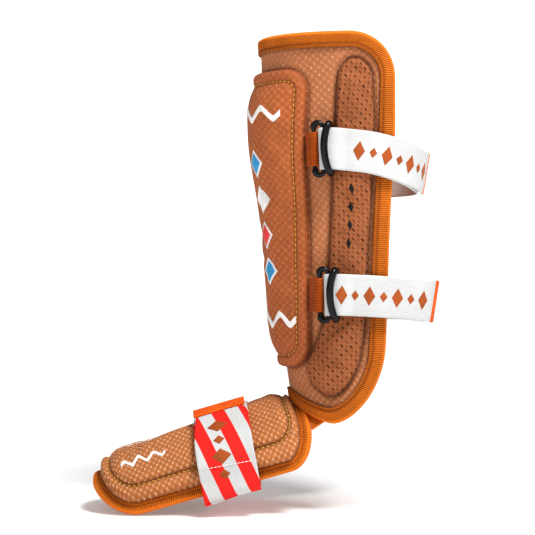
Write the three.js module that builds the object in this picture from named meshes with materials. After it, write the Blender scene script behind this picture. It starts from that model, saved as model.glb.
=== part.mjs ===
// Leg guard: an open foam shell round the shin, with an arched foot guard hanging from its lower front edge.
// Millimetres, +Z up. The origin lies on the leg axis at the middle of the shell, the toe points to -X,
// and the side with the strap loops, the near side, is -Y.
import * as THREE from "three";

const GAP = 0.3; // clearance between pieces that touch
const TAPE_GAP = 0.5; // clearance between an edge tape and the panel that it is folded over

// The leg surface is an elliptical cone. Its front radius (depth) and side radius (width) change with height.
const LEG = {
  depth: 65.1,
  depthTaper: 0.078,
  bulge: 5,
  bulgeHeight: 68,
  bulgeReach: 42,
  ankle: -80, // height below which the front draws in
  ankleRate: 0.0009,
  width: 51.5,
  widthTaper: 0.044,
};

const SHELL = {
  thickness: 6,
  top: 150,
  halfSpan: 111.5, // degrees from the front to each back edge
  topCorner: 36,
  bottomFront: -133.5,
  lobeDrop: 20, // how far the sides hang below the front
  lobeStart: 5, // degrees
  lobeEnd: 70, // degrees
  lowerCornerAlong: 46,
  lowerCornerUp: 62,
};

const SHIN_TAPE = { width: 12.5, thickness: 1.5 };

const PLATE = {
  top: 122,
  bottom: -110,
  halfSpanTop: 59.8, // degrees
  halfSpanBottom: 50, // degrees
  corner: 20,
  seat: 0.6, // clearance over the shell
  edge: 2.2,
  height: 9.3,
  shoulder: 12, // width of the rounded border
};

const RIB = { edge: 1, height: 4.5, shoulder: 7 };
// One row for each height of the rib pad, with the angles of its front and back edges in degrees.
const RIB_ROWS = [
  { z: 129, front: 83.5, back: 89 },
  { z: 125, front: 79.5, back: 93.5 },
  { z: 113, front: 76.5, back: 97 },
  { z: 79, front: 75.4, back: 98.5 },
  { z: 12, front: 71, back: 97 },
  { z: -28, front: 68, back: 95.5 },
  { z: -76, front: 61.6, back: 94 },
  { z: -95, front: 53, back: 92 },
  { z: -108, front: 43.5, back: 89.5 },
  { z: -121, front: 47, back: 82.5 },
  { z: -128, front: 55, back: 76 },
  { z: -131, front: 62, back: 70 },
];

const STRAP = {
  width: 32,
  thickness: 1.6,
  farLift: 1.6, // where the strap is sewn beside the far edge of the front panel
  lift: 6, // middle of the inner layer over the leg surface, on the rib pads
  backPower: 2.4, // squareness of the stretch behind the calf
  slopeStart: 76, // degrees, where the strap starts to run down towards the back
  slopeEnd: 164, // degrees, where it has come down
  flare: 0.17, // how far the stretch behind the calf leans back for each millimetre of height
};
// One row for each strap. z is the height of its loop, drop how far it runs down to the back and back its
// reach behind the axis. Angles are in degrees from the front: the bar that the strap folds round, the keeper,
// where both layers lie flat, the tip, and where the far end starts and has risen on the far rib pad.
const STRAP_ROWS = [
  {
    name: "upper", z: 59, drop: 16.5, back: 44.5, tipAngle: 168, tipLift: 2,
    loopAngle: 69.8, keeperAngle: 73.5, flatAngle: 83, keeperLift: 10, farStart: 60.5, farFlat: 73,
  },
  {
    name: "lower", z: -52.5, drop: 6, back: 50.5, tipAngle: 151, tipLift: 6,
    loopAngle: 70, keeperAngle: 74.6, flatAngle: 87, keeperLift: 11.3, farStart: 53.5, farFlat: 62.5,
  },
];
const STRAP_TIP = { length: 5.5, thickness: 2.4 };

const LOOP = { bar: 3.2, spacing: 6.9, straight: 33, over: 1 };
// The keeper's outer bar is bowed towards the loop, and out over the fold of the strap.
const KEEPER = { bar: 4.4, tall: 37.6, corner: 3.2, bow: 3.4, bowOut: 2 };
const TAB = { width: 26, thickness: 1.2, clear: 1 };

// The foot guard is an arch of one radius along a sloping axis that starts at its heel end.
const FOOT = { x: -46.3, z: -140, slope: 19.4, radius: 47, thickness: 6 };
const FOOT_PAD = {
  heel: -4,
  toe: 174,
  halfHeel: 73,
  halfToe: 61,
  heelCornerAlong: 26,
  heelCornerAcross: 42,
  toeCornerAlong: 34,
  toeCornerAcross: 46,
  rise: 10.6, // height of the cushion inside the tape
  shoulder: 4.5, // width of the cushion's rounded edge
};
const FOOT_TAPE = { width: 8.5, thickness: 1.3 };
const FOOT_DOME = {
  heel: 11,
  toe: 160.5,
  halfHeel: 53,
  halfToe: 48,
  heelCornerAlong: 16,
  heelCornerAcross: 16,
  toeCornerAlong: 20,
  toeCornerAcross: 24,
  edge: 0.6,
  height: 2.3,
  shoulder: 12,
};
const FOOT_STRAP = {
  middle: 70.5, // along the foot axis, under the foot
  lean: 0.158, // how far it comes back towards the heel for each millimetre up
  width: 45,
  endWidth: 38.5,
  thickness: 1.6,
  domeLift: 15,
  under: -46.5,
  side: 55.3,
  corner: 6,
};
const FOOT_STRAP_TIP = { width: 42, length: 7.5, thickness: 2.4 };

// The ankle tab runs from the shell's lower rim to the heel end of the foot guard. In front it starts inside
// the shell, and at its sides below the rim.
const ANKLE = { thickness: 2, spanOnShin: 54, spanOnFoot: 43, inside: 9.6, above: 5, depth: 3, clear: 1.6 };

const COLOR = {
  mesh: 0xb06a42,
  plate: 0xab5c34,
  footMesh: 0xb9713f,
  tape: 0xd07a1e,
  elastic: 0xe9ecee,
  tip: 0xff7328,
  stripe: 0xf23a34,
  rubber: 0x2a2a2e,
};

const radians = THREE.MathUtils.degToRad;
const { lerp, clamp, smoothstep } = THREE.MathUtils;
const vector = (x, y, z) => new THREE.Vector3(x, y, z);

// Values from -1 to 1 in equal turns of a half circle, so that they crowd towards both ends.
const spread = (k, steps) => Math.sin((k / steps - 0.5) * Math.PI);

// A quarter circle from 0 to 1 as the share goes from 0 to 1.
const quarter = (share) => Math.sqrt(1 - (1 - clamp(share, 0, 1)) ** 2);

// A closed body from an index list. The faces are turned outwards by the sign of the volume.
function closedBody(points, faces) {
  let volume = 0;
  for (const [a, b, c] of faces) volume += points[a].dot(vector(0, 0, 0).crossVectors(points[b], points[c]));
  const turned = volume < 0 ? faces.map(([a, b, c]) => [a, c, b]) : faces;
  const geometry = new THREE.BufferGeometry().setFromPoints(points);
  geometry.setIndex(turned.flat());
  geometry.computeVertexNormals();
  return geometry;
}

// Two triangles for each cell of a grid of indices.
function quads(columns, rows, index) {
  const faces = [];
  for (let i = 0; i < columns; i++)
    for (let j = 0; j < rows; j++) {
      const [a, b, c, d] = [index(i, j), index(i + 1, j), index(i + 1, j + 1), index(i, j + 1)];
      faces.push([a, b, c], [a, c, d]);
    }
  return faces;
}

// A slab between a grid of outer points and a grid of inner points, closed round its border.
function slab(columns, rows, outer, inner) {
  const points = [];
  for (const side of [outer, inner])
    for (let i = 0; i <= columns; i++)
      for (let j = 0; j <= rows; j++) points.push(side(i, j));
  const half = (columns + 1) * (rows + 1);
  const at = (i, j) => i * (rows + 1) + j;
  const border = [];
  for (let i = 0; i < columns; i++) border.push(at(i, 0));
  for (let j = 0; j < rows; j++) border.push(at(columns, j));
  for (let i = columns; i > 0; i--) border.push(at(i, rows));
  for (let j = rows; j > 0; j--) border.push(at(0, j));
  const faces = [
    ...quads(columns, rows, at),
    ...quads(columns, rows, (i, j) => half + at(i, j)).map(([a, b, c]) => [a, c, b]),
  ];
  border.forEach((a, k) => {
    const b = border[(k + 1) % border.length];
    faces.push([b, a, half + a], [b, half + a, half + b]);
  });
  return closedBody(points, faces);
}

// A mound on a flat base: a grid at the first level, border loops down through the others, and a grid for the
// base. place(i, j, level) gives a point, and levels run from the innermost to the outermost.
function mound(columns, rows, levels, base, place) {
  const points = [];
  const grid = (level) => {
    const start = points.length;
    for (let i = 0; i <= columns; i++) for (let j = 0; j <= rows; j++) points.push(place(i, j, level));
    return (i, j) => start + i * (rows + 1) + j;
  };
  const border = [];
  for (let i = 0; i < columns; i++) border.push([i, 0]);
  for (let j = 0; j < rows; j++) border.push([columns, j]);
  for (let i = columns; i > 0; i--) border.push([i, rows]);
  for (let j = rows; j > 0; j--) border.push([0, j]);
  const top = grid(levels[0]);
  const loops = [border.map(([i, j]) => top(i, j))];
  for (const level of levels.slice(1)) {
    const start = points.length;
    for (const [i, j] of border) points.push(place(i, j, level));
    loops.push(border.map((_, k) => start + k));
  }
  const bottom = grid(base);
  loops.push(border.map(([i, j]) => bottom(i, j)));
  const faces = [
    ...quads(columns, rows, top),
    ...quads(columns, rows, bottom).map(([a, b, c]) => [a, c, b]),
  ];
  for (let n = 1; n < loops.length; n++)
    border.forEach((_, k) => {
      const next = (k + 1) % border.length;
      const [a, b, c, d] = [loops[n - 1][k], loops[n - 1][next], loops[n][next], loops[n][k]];
      faces.push([b, a, d], [b, d, c]);
    });
  return closedBody(points, faces);
}

// A closed ring: place(i, j) gives corner j of the section at step i, and both run round.
function ring(steps, sides, place) {
  const points = [];
  for (let i = 0; i < steps; i++) for (let j = 0; j < sides; j++) points.push(place(i, j));
  return closedBody(points, quads(steps, sides, (i, j) => (i % steps) * sides + (j % sides)));
}

// A flat ribbon through frames of middle, normal and cross direction. A frame may have a width of its own.
function ribbon(frames, width, thickness) {
  const side = (i, j, sign) =>
    frames[i].middle
      .clone()
      .addScaledVector(frames[i].normal, (sign * thickness) / 2)
      .addScaledVector(frames[i].cross, (j - 0.5) * (frames[i].width ?? width));
  return slab(frames.length - 1, 1, (i, j) => side(i, j, 1), (i, j) => side(i, j, -1));
}

// Frames for a ribbon through stations of a middle point and the rough direction across the ribbon there.
function framesAlong(stations) {
  return stations.map(({ middle, up, width }, i) => {
    const before = stations[Math.max(i - 1, 0)].middle;
    const after = stations[Math.min(i + 1, stations.length - 1)].middle;
    const along = after.clone().sub(before).normalize();
    const normal = vector(0, 0, 0).crossVectors(along, up).normalize();
    const cross = vector(0, 0, 0).crossVectors(normal, along).normalize();
    return { middle, normal, cross, along, width };
  });
}

// Frames of a short straight piece that carries on from the last frame of a ribbon.
function tipFrames(frames, length) {
  const end = frames[frames.length - 1];
  return [GAP, GAP + length].map((reach) => ({
    ...end,
    width: undefined,
    middle: end.middle.clone().addScaledVector(end.along, reach),
  }));
}

const parts = new THREE.Group();

function add(name, geometry, color, roughness) {
  const material = new THREE.MeshStandardMaterial({ color, roughness, metalness: 0 });
  const mesh = new THREE.Mesh(geometry, material);
  mesh.name = name;
  parts.add(mesh);
}

// Leg surface

function legRadii(z) {
  const swell = LEG.bulge * Math.exp(-(((z - LEG.bulgeHeight) / LEG.bulgeReach) ** 2));
  const drawnIn = LEG.ankleRate * Math.max(LEG.ankle - z, 0) ** 2;
  return { depth: LEG.depth + LEG.depthTaper * z + swell - drawnIn, width: LEG.width + LEG.widthTaper * z };
}

// Outward direction of the leg surface at an angle from the front, positive towards the near side.
function legNormal(angle, z) {
  const { depth, width } = legRadii(z);
  return vector(-Math.cos(angle) / depth, -Math.sin(angle) / width, 0).normalize();
}

function legPoint(angle, z, lift) {
  const { depth, width } = legRadii(z);
  const point = vector(-depth * Math.cos(angle), -width * Math.sin(angle), z);
  return point.addScaledVector(legNormal(angle, z), lift);
}

// Millimetres along the leg surface for each radian.
function legRate(angle, z) {
  const { depth, width } = legRadii(z);
  return Math.hypot(depth * Math.sin(angle), width * Math.cos(angle));
}

// Shin shell

// Upper and lower end of one column of the shell, for a rim drawn in by inset. Column share runs from -1 to 1.
function shellColumn(share, inset) {
  const span = radians(SHELL.halfSpan);
  const upperRate = legRate(span, SHELL.top - SHELL.topCorner);
  const lowerRate = legRate(span, SHELL.bottomFront);
  const upper = (span - inset / upperRate) * share;
  const lower = (span - inset / lowerRate) * share;

  const topCorner = SHELL.topCorner - inset;
  const fromBackTop = (span - Math.abs(upper)) * upperRate - inset;
  const top = SHELL.top - inset - topCorner * (1 - quarter(fromBackTop / topCorner));

  const lobe = smoothstep(Math.abs(lower), radians(SHELL.lobeStart), radians(SHELL.lobeEnd));
  const cornerAlong = SHELL.lowerCornerAlong - inset;
  const cornerUp = SHELL.lowerCornerUp - inset;
  const fromBackLow = (span - Math.abs(lower)) * lowerRate - inset;
  const rise = cornerUp * (1 - quarter(fromBackLow / cornerAlong));
  const bottom = SHELL.bottomFront - SHELL.lobeDrop * lobe + inset + rise;
  return { upper: { angle: upper, z: top }, lower: { angle: lower, z: bottom } };
}

function shellPoint(share, height, inset, lift) {
  const { upper, lower } = shellColumn(share, inset);
  return legPoint(lerp(lower.angle, upper.angle, height), lerp(lower.z, upper.z, height), lift);
}

// Points round the rim as column share and height share: along the top, down the far side, back and up.
function rimShares(acrossSteps, sideSteps) {
  const shares = [];
  for (let k = 0; k < acrossSteps; k++) shares.push({ across: -spread(k, acrossSteps), up: 1 });
  for (let k = 0; k < sideSteps; k++) shares.push({ across: -1, up: 1 - k / sideSteps });
  for (let k = 0; k < acrossSteps; k++) shares.push({ across: spread(k, acrossSteps), up: 0 });
  for (let k = 0; k < sideSteps; k++) shares.push({ across: 1, up: k / sideSteps });
  return shares;
}

// Section of a tape folded over an edge, as inset from its outermost line and lift over the panel's face.
function tapeSection(tape, panel) {
  const fold = tape.thickness + GAP;
  const outer = TAPE_GAP + tape.thickness;
  return [
    { inset: tape.width, lift: TAPE_GAP },
    { inset: tape.width, lift: outer },
    { inset: tape.width / 2, lift: outer },
    { inset: 2, lift: outer },
    { inset: 0, lift: -panel / 4 },
    { inset: 0, lift: (-panel * 3) / 4 },
    { inset: 2, lift: -panel - outer },
    { inset: tape.width, lift: -panel - outer },
    { inset: tape.width, lift: -panel - TAPE_GAP },
    { inset: fold, lift: -panel - TAPE_GAP },
    { inset: fold, lift: TAPE_GAP },
    { inset: tape.width / 2, lift: TAPE_GAP },
  ];
}

function addShell() {
  const [columns, rows] = [22, 12];
  const inset = SHIN_TAPE.thickness + GAP + TAPE_GAP;
  const place = (i, j, lift) => shellPoint(spread(i, columns), j / rows, inset, lift);
  const geometry = slab(columns, rows, (i, j) => place(i, j, 0), (i, j) => place(i, j, -SHELL.thickness));
  add("shin_shell", geometry, COLOR.mesh, 0.85);

  const shares = rimShares(columns, rows);
  const section = tapeSection(SHIN_TAPE, SHELL.thickness);
  const tape = ring(shares.length, section.length, (i, j) =>
    shellPoint(shares[i].across, shares[i].up, section[j].inset, section[j].lift),
  );
  add("shin_binding", tape, COLOR.tape, 0.7);
}

// Front panel, a pillow on the shell with rounded corners

function plateHalfSpan(z) {
  const share = (z - PLATE.bottom) / (PLATE.top - PLATE.bottom);
  const span = radians(lerp(PLATE.halfSpanBottom, PLATE.halfSpanTop, share));
  const toEnd = Math.min(z - PLATE.bottom, PLATE.top - z);
  return span - (PLATE.corner * (1 - quarter(toEnd / PLATE.corner))) / legRate(span, z);
}

function addPlate() {
  const [columns, rows] = [16, 16];
  const middle = (PLATE.top + PLATE.bottom) / 2;
  const half = (PLATE.top - PLATE.bottom) / 2;
  const at = (i, j) => {
    const z = middle + half * spread(j, rows);
    const span = plateHalfSpan(z);
    return { z, span, angle: span * spread(i, columns) };
  };
  const face = (i, j) => {
    const { z, span, angle } = at(i, j);
    const toSide = (span - Math.abs(angle)) * legRate(span, z);
    const toEnd = half - Math.abs(z - middle);
    const rise = quarter(toSide / PLATE.shoulder) * quarter(toEnd / PLATE.shoulder);
    return legPoint(angle, z, PLATE.seat + lerp(PLATE.edge, PLATE.height, rise));
  };
  const back = (i, j) => legPoint(at(i, j).angle, at(i, j).z, PLATE.seat);
  add("shin_plate", slab(columns, rows, face, back), COLOR.plate, 0.75);
}

// Side rib pads

function addRib(name, side) {
  const [columns, rows] = [8, RIB_ROWS.length - 1];
  const at = (i, j) => {
    const { z, front, back } = RIB_ROWS[j];
    const share = (spread(i, columns) + 1) / 2;
    const angle = radians(lerp(front, back, share));
    const toEdge = Math.min(share, 1 - share) * radians(back - front) * legRate(angle, z);
    const toEnd = Math.min(RIB_ROWS[0].z - z, z - RIB_ROWS[rows].z);
    return { angle: side * angle, z, rise: quarter(toEdge / RIB.shoulder) * quarter(toEnd / RIB.shoulder) };
  };
  const face = (i, j) => legPoint(at(i, j).angle, at(i, j).z, GAP + lerp(RIB.edge, RIB.height, at(i, j).rise));
  const back = (i, j) => legPoint(at(i, j).angle, at(i, j).z, GAP);
  add(name, slab(columns, rows, face, back), COLOR.mesh, 0.85);
}

// Shin straps with their loops, keepers and tabs

// A point round the leg at a lift and a height over the strap's middle line. Degrees run from the front round
// the near side to 180 at the back and on round the far side. Behind the axis the path is a squarish oval.
function strapPoint(row, degrees, lift, rise) {
  const angle = radians(degrees);
  const fall = clamp((degrees - STRAP.slopeStart) / (STRAP.slopeEnd - STRAP.slopeStart), 0, 1);
  const z = row.z - row.drop * lerp(fall, smoothstep(fall, 0, 1), 0.5) + rise;
  if (Math.cos(angle) >= 0) return legPoint(angle, z, lift);
  const power = 2 / STRAP.backPower;
  const { width } = legRadii(z);
  const x = (row.back + lift + STRAP.flare * rise) * Math.abs(Math.cos(angle)) ** power;
  const y = -Math.sign(Math.sin(angle)) * (width + lift) * Math.abs(Math.sin(angle)) ** power;
  return vector(x, y, z);
}

// The strap leans with the leg surface: direction from its middle line to a point 1 mm higher.
function strapUp(row, degrees) {
  return strapPoint(row, degrees, 0, 1).sub(strapPoint(row, degrees, 0, 0)).normalize();
}

// Bar that a strap folds round, with the directions along the leg towards the back, off the leg and up.
function loopFrame(row) {
  const angle = radians(row.loopAngle);
  const normal = legNormal(angle, row.z);
  const up = strapUp(row, row.loopAngle);
  const along = vector(0, 0, 0).crossVectors(up, normal).normalize();
  const off = vector(0, 0, 0).crossVectors(along, up);
  return { bar: legPoint(angle, row.z, row.keeperLift + LOOP.over), along, off, up };
}

// Middle line of a strap with its up directions: inner layer from the far side, fold round the loop's bar,
// free layer to the tip.
function strapStations(row) {
  const foldRadius = LOOP.bar / 2 + GAP + STRAP.thickness / 2;
  const layer = STRAP.thickness + GAP;
  const barLift = row.keeperLift + LOOP.over;
  const foldEnd = row.loopAngle + 1.2;
  const stations = [];
  const station = (degrees, lift) =>
    stations.push({ middle: strapPoint(row, degrees, lift, 0), up: strapUp(row, degrees) });

  const nearLift = (degrees, atBar, atKeeper, flat) =>
    degrees < row.keeperAngle
      ? lerp(atBar, atKeeper, smoothstep(degrees, row.loopAngle, row.keeperAngle))
      : lerp(atKeeper, flat, smoothstep(degrees, row.keeperAngle, row.flatAngle));

  const steps = (from, to, count) => Array.from({ length: count }, (_, k) => lerp(from, to, k / count));
  const [farEnd, closeSteps] = [360 - row.farStart, 8];
  for (const degrees of [...steps(farEnd, row.flatAngle, 32), ...steps(row.flatAngle, foldEnd, closeSteps)]) {
    const far = smoothstep(360 - degrees, row.farStart, row.farFlat);
    if (degrees > 180) station(degrees, lerp(STRAP.farLift, STRAP.lift, far));
    else station(degrees, nearLift(degrees, barLift - foldRadius, row.keeperLift, STRAP.lift));
  }
  const { bar, along, off, up } = loopFrame(row);
  const foldSteps = 8;
  for (let k = 0; k <= foldSteps; k++) {
    const turn = Math.PI * (k / foldSteps - 0.5);
    const middle = bar.clone().addScaledVector(along, -foldRadius * Math.cos(turn));
    stations.push({ middle: middle.addScaledVector(off, foldRadius * Math.sin(turn)), up });
  }
  const free = [...steps(foldEnd, row.flatAngle, closeSteps), ...steps(row.flatAngle, row.tipAngle, 15)];
  for (const degrees of [...free, row.tipAngle]) {
    const away = row.tipLift * smoothstep(degrees, 105, row.tipAngle);
    const lift = nearLift(degrees, barLift + foldRadius, row.keeperLift + layer, STRAP.lift + layer);
    station(degrees, lift + away);
  }
  return stations;
}

function addStrap(row) {
  const frames = framesAlong(strapStations(row));
  add("strap_" + row.name, ribbon(frames, STRAP.width, STRAP.thickness), COLOR.elastic, 0.8);
  const tip = tipFrames(frames, STRAP_TIP.length);
  add("strap_tip_" + row.name, ribbon(tip, STRAP.width + 1, STRAP_TIP.thickness), COLOR.tip, 0.6);
}

// Outline of a long rounded rectangle, as across and up, in equal numbers of points for each corner and with
// more points down its outer side where it is bowed.
function roundedOutline(wide, tall, corner, cornerSteps, sideSteps = 1) {
  const points = [];
  for (const [sx, sy, start] of [[1, 1, 0], [-1, 1, 90], [-1, -1, 180], [1, -1, 270]])
    for (let k = 0; k <= cornerSteps; k++) {
      const turn = radians(start + (90 * k) / cornerSteps);
      const across = sx * (wide / 2 - corner) + corner * Math.cos(turn);
      const up = sy * (tall / 2 - corner) + corner * Math.sin(turn);
      points.push({ across, up, outX: Math.cos(turn), outY: Math.sin(turn) });
    }
  for (let k = 1; k < sideSteps; k++)
    points.push({ across: wide / 2, up: (tall / 2 - corner) * ((2 * k) / sideSteps - 1), outX: 1, outY: 0 });
  return points;
}

// A round bar along a rounded outline that lies in the plane of the across and up directions. A bow moves its
// outer side out of that plane, and out in it, by a parabola of the height.
function barRing(middle, across, up, outline, diameter, bow = 0, bowOut = 0) {
  const sides = 8;
  const through = vector(0, 0, 0).crossVectors(across, up).normalize();
  const tall = Math.max(...outline.map((point) => point.up));
  return ring(outline.length, sides, (i, j) => {
    const turn = (2 * Math.PI * j) / sides;
    const out = (diameter / 2) * Math.cos(turn);
    const bowed = outline[i].across > 0 ? 1 - (outline[i].up / tall) ** 2 : 0;
    return middle
      .clone()
      .addScaledVector(across, outline[i].across + out * outline[i].outX + bowOut * bowed)
      .addScaledVector(up, outline[i].up + out * outline[i].outY)
      .addScaledVector(through, (diameter / 2) * Math.sin(turn) + bow * bowed);
  });
}

function addLoopAndKeeper(row) {
  const { bar, along, up } = loopFrame(row);
  const middle = bar.clone().addScaledVector(along, -LOOP.spacing / 2);
  const loop = roundedOutline(LOOP.spacing, LOOP.straight + LOOP.spacing, LOOP.spacing / 2, 5);
  add("loop_" + row.name, barRing(middle, along, up, loop, LOOP.bar), COLOR.rubber, 0.4);

  const layer = STRAP.thickness + GAP;
  const angle = radians(row.keeperAngle);
  const inside = 2 * STRAP.thickness + 6 * GAP;
  const centre = legPoint(angle, row.z, row.keeperLift + layer / 2);
  const outline = roundedOutline(inside + KEEPER.bar, KEEPER.tall, KEEPER.corner, 4, 6);
  const [normal, keeperUp] = [legNormal(angle, row.z), strapUp(row, row.keeperAngle)];
  const keeper = barRing(centre, normal, keeperUp, outline, KEEPER.bar, KEEPER.bow, KEEPER.bowOut);
  add("keeper_" + row.name, keeper, COLOR.rubber, 0.5);
}

// Webbing from the edge of the front panel, round the loop's front bar and back under itself.
function addTab(row) {
  const { bar, along, off, up } = loopFrame(row);
  const front = bar.clone().addScaledVector(along, -LOOP.spacing);
  const radius = LOOP.bar / 2 + GAP + TAB.thickness / 2;
  const floor = row.keeperLift + LOOP.over;
  const fromPlate = radians(row.loopAngle) - plateHalfSpan(row.z);
  const reach = fromPlate * legRate(radians(row.loopAngle), row.z) - LOOP.spacing - TAB.clear;
  const route = [{ along: -reach, off: 3.6 - floor }, { along: -2.6, off: radius * 0.55 }];
  for (let turn = 112.5; turn >= -90; turn -= 22.5)
    route.push({ along: radius * Math.cos(radians(turn)), off: radius * Math.sin(radians(turn)) });
  route.push({ along: -reach, off: 1.4 - floor });
  const stations = route.map((point) => ({
    middle: front.clone().addScaledVector(along, point.along).addScaledVector(off, point.off),
    up,
  }));
  add("tab_" + row.name, ribbon(framesAlong(stations), TAB.width, TAB.thickness), COLOR.tape, 0.75);
}

// Foot guard

const footAxis = vector(-Math.cos(radians(FOOT.slope)), 0, -Math.sin(radians(FOOT.slope)));
const footUp = vector(-Math.sin(radians(FOOT.slope)), 0, Math.cos(radians(FOOT.slope)));

// A point by its place along the foot axis, across the foot and up from the ridge line of the arch.
function footPlace(along, across, up) {
  return vector(FOOT.x, across, FOOT.z).addScaledVector(footAxis, along).addScaledVector(footUp, up);
}

// A point on the arch: along the axis, round it from the ridge (positive towards the near side), and a lift.
function footPoint(along, round, lift) {
  const turn = round / FOOT.radius;
  const radius = FOOT.radius + lift;
  return footPlace(along, -radius * Math.sin(turn), radius * Math.cos(turn) - FOOT.radius);
}

// Half the width of a foot panel round the arch, with elliptical corners at the heel and the toe.
function footHalf(panel, along, inset) {
  const share = (along - panel.heel) / (panel.toe - panel.heel);
  const corner = (toEnd, reach, depth) =>
    (depth - inset) * (1 - quarter((toEnd - inset) / (reach - inset)));
  const heel = corner(along - panel.heel, panel.heelCornerAlong, panel.heelCornerAcross);
  const toe = corner(panel.toe - along, panel.toeCornerAlong, panel.toeCornerAcross);
  return lerp(panel.halfHeel, panel.halfToe, share) - inset - heel - toe;
}

function footAlong(panel, share, inset) {
  return (panel.heel + panel.toe) / 2 + ((panel.toe - panel.heel) / 2 - inset) * share;
}

function addFootPad() {
  const [columns, rows] = [12, 16];
  const inset = FOOT_TAPE.thickness + GAP + 3 * TAPE_GAP;
  const place = (i, j, level) => {
    const along = footAlong(FOOT_PAD, spread(j, rows), level.inset);
    return footPoint(along, footHalf(FOOT_PAD, along, level.inset) * ((2 * i) / columns - 1), level.lift);
  };
  const levels = [1, 0.5, 0.2, 0.05, 0].map((share) => ({
    inset: FOOT_TAPE.width + 2 * GAP + FOOT_PAD.shoulder * share,
    lift: FOOT_PAD.rise * quarter(share),
  }));
  levels.push({ inset, lift: -TAPE_GAP });
  const base = { inset, lift: TAPE_GAP - FOOT.thickness };
  const geometry = mound(columns, rows, levels, base, place);
  add("foot_pad", geometry, COLOR.footMesh, 0.8);

  const shares = [];
  for (let k = 0; k < rows; k++) shares.push({ along: spread(k, rows), side: 1 });
  for (let k = 0; k < columns; k++) shares.push({ along: 1, side: 1 - (2 * k) / columns });
  for (let k = 0; k < rows; k++) shares.push({ along: -spread(k, rows), side: -1 });
  for (let k = 0; k < columns; k++) shares.push({ along: -1, side: (2 * k) / columns - 1 });
  const section = tapeSection(FOOT_TAPE, FOOT.thickness);
  const tape = ring(shares.length, section.length, (i, j) => {
    const along = footAlong(FOOT_PAD, shares[i].along, section[j].inset);
    return footPoint(along, footHalf(FOOT_PAD, along, section[j].inset) * shares[i].side, section[j].lift);
  });
  add("foot_binding", tape, COLOR.tape, 0.7);
}

function addFootDome() {
  const [columns, rows] = [14, 16];
  const at = (i, j) => {
    const along = footAlong(FOOT_DOME, spread(j, rows), 0);
    const half = footHalf(FOOT_DOME, along, 0);
    const round = half * spread(i, columns);
    const toEnd = Math.min(along - FOOT_DOME.heel, FOOT_DOME.toe - along);
    const rise = quarter((half - Math.abs(round)) / FOOT_DOME.shoulder) * quarter(toEnd / FOOT_DOME.shoulder);
    return { along, round, base: FOOT_PAD.rise + 2 * GAP, lift: lerp(FOOT_DOME.edge, FOOT_DOME.height, rise) };
  };
  const face = (i, j) => footPoint(at(i, j).along, at(i, j).round, at(i, j).base + at(i, j).lift);
  const back = (i, j) => footPoint(at(i, j).along, at(i, j).round, at(i, j).base);
  add("foot_dome", slab(columns, rows, face, back), COLOR.footMesh, 0.8);
}

// Route of the foot strap across the foot: up the near side, over the dome, down, under, and up to its tip.
function footStrapRoute() {
  const { domeLift, side, under, corner, thickness } = FOOT_STRAP;
  const layer = thickness + GAP;
  const outside = side + layer;
  const route = [{ across: -side, up: -31 }, { across: 0.5 - side, up: -22 }];
  for (let turn = -60; turn <= 60; turn += 12) {
    const radius = FOOT.radius + domeLift;
    const [sine, cosine] = [Math.sin(radians(turn)), Math.cos(radians(turn))];
    route.push({ across: radius * sine, up: radius * cosine - FOOT.radius });
  }
  route.push({ across: side - 0.5, up: -22 }, { across: side, up: -32 });
  for (let turn = 0; turn <= 90; turn += 30)
    route.push({
      across: side - corner + corner * Math.cos(radians(turn)),
      up: under + corner - corner * Math.sin(radians(turn)),
    });
  route.push({ across: 18, up: under }, { across: -18, up: under });
  for (let turn = 90; turn >= 0; turn -= 30)
    route.push({
      across: -outside + corner - corner * Math.cos(radians(turn)),
      up: under + corner - corner * Math.sin(radians(turn)),
    });
  route.push({ across: -outside, up: -30 }, { across: -outside, up: -15 }, { across: -48.5, up: -1.8 });
  route.push({ across: -37, up: 8.6, width: (FOOT_STRAP.width + FOOT_STRAP.endWidth) / 2 });
  route.push({ across: -25.5, up: 16.6, width: FOOT_STRAP.endWidth });
  return route;
}

function addFootStrap() {
  const { middle, lean, under, width, thickness } = FOOT_STRAP;
  const stations = footStrapRoute().map((point) => ({
    middle: footPlace(middle - lean * (point.up - under), point.across, point.up),
    up: footAxis,
    width: point.width,
  }));
  const frames = framesAlong(stations);
  add("foot_strap", ribbon(frames, width, thickness), COLOR.stripe, 0.8);
  const tip = tipFrames(frames, FOOT_STRAP_TIP.length);
  add("foot_strap_tip", ribbon(tip, FOOT_STRAP_TIP.width, FOOT_STRAP_TIP.thickness), COLOR.tip, 0.6);
}

// Place of the heel end along the foot axis, at a distance round the arch from the ridge.
function footHeelEdge(round) {
  const share = 1 - (FOOT_PAD.halfHeel - Math.abs(round)) / FOOT_PAD.heelCornerAcross;
  return FOOT_PAD.heel + FOOT_PAD.heelCornerAlong * (1 - Math.sqrt(1 - Math.max(share, 0) ** 2));
}

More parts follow.
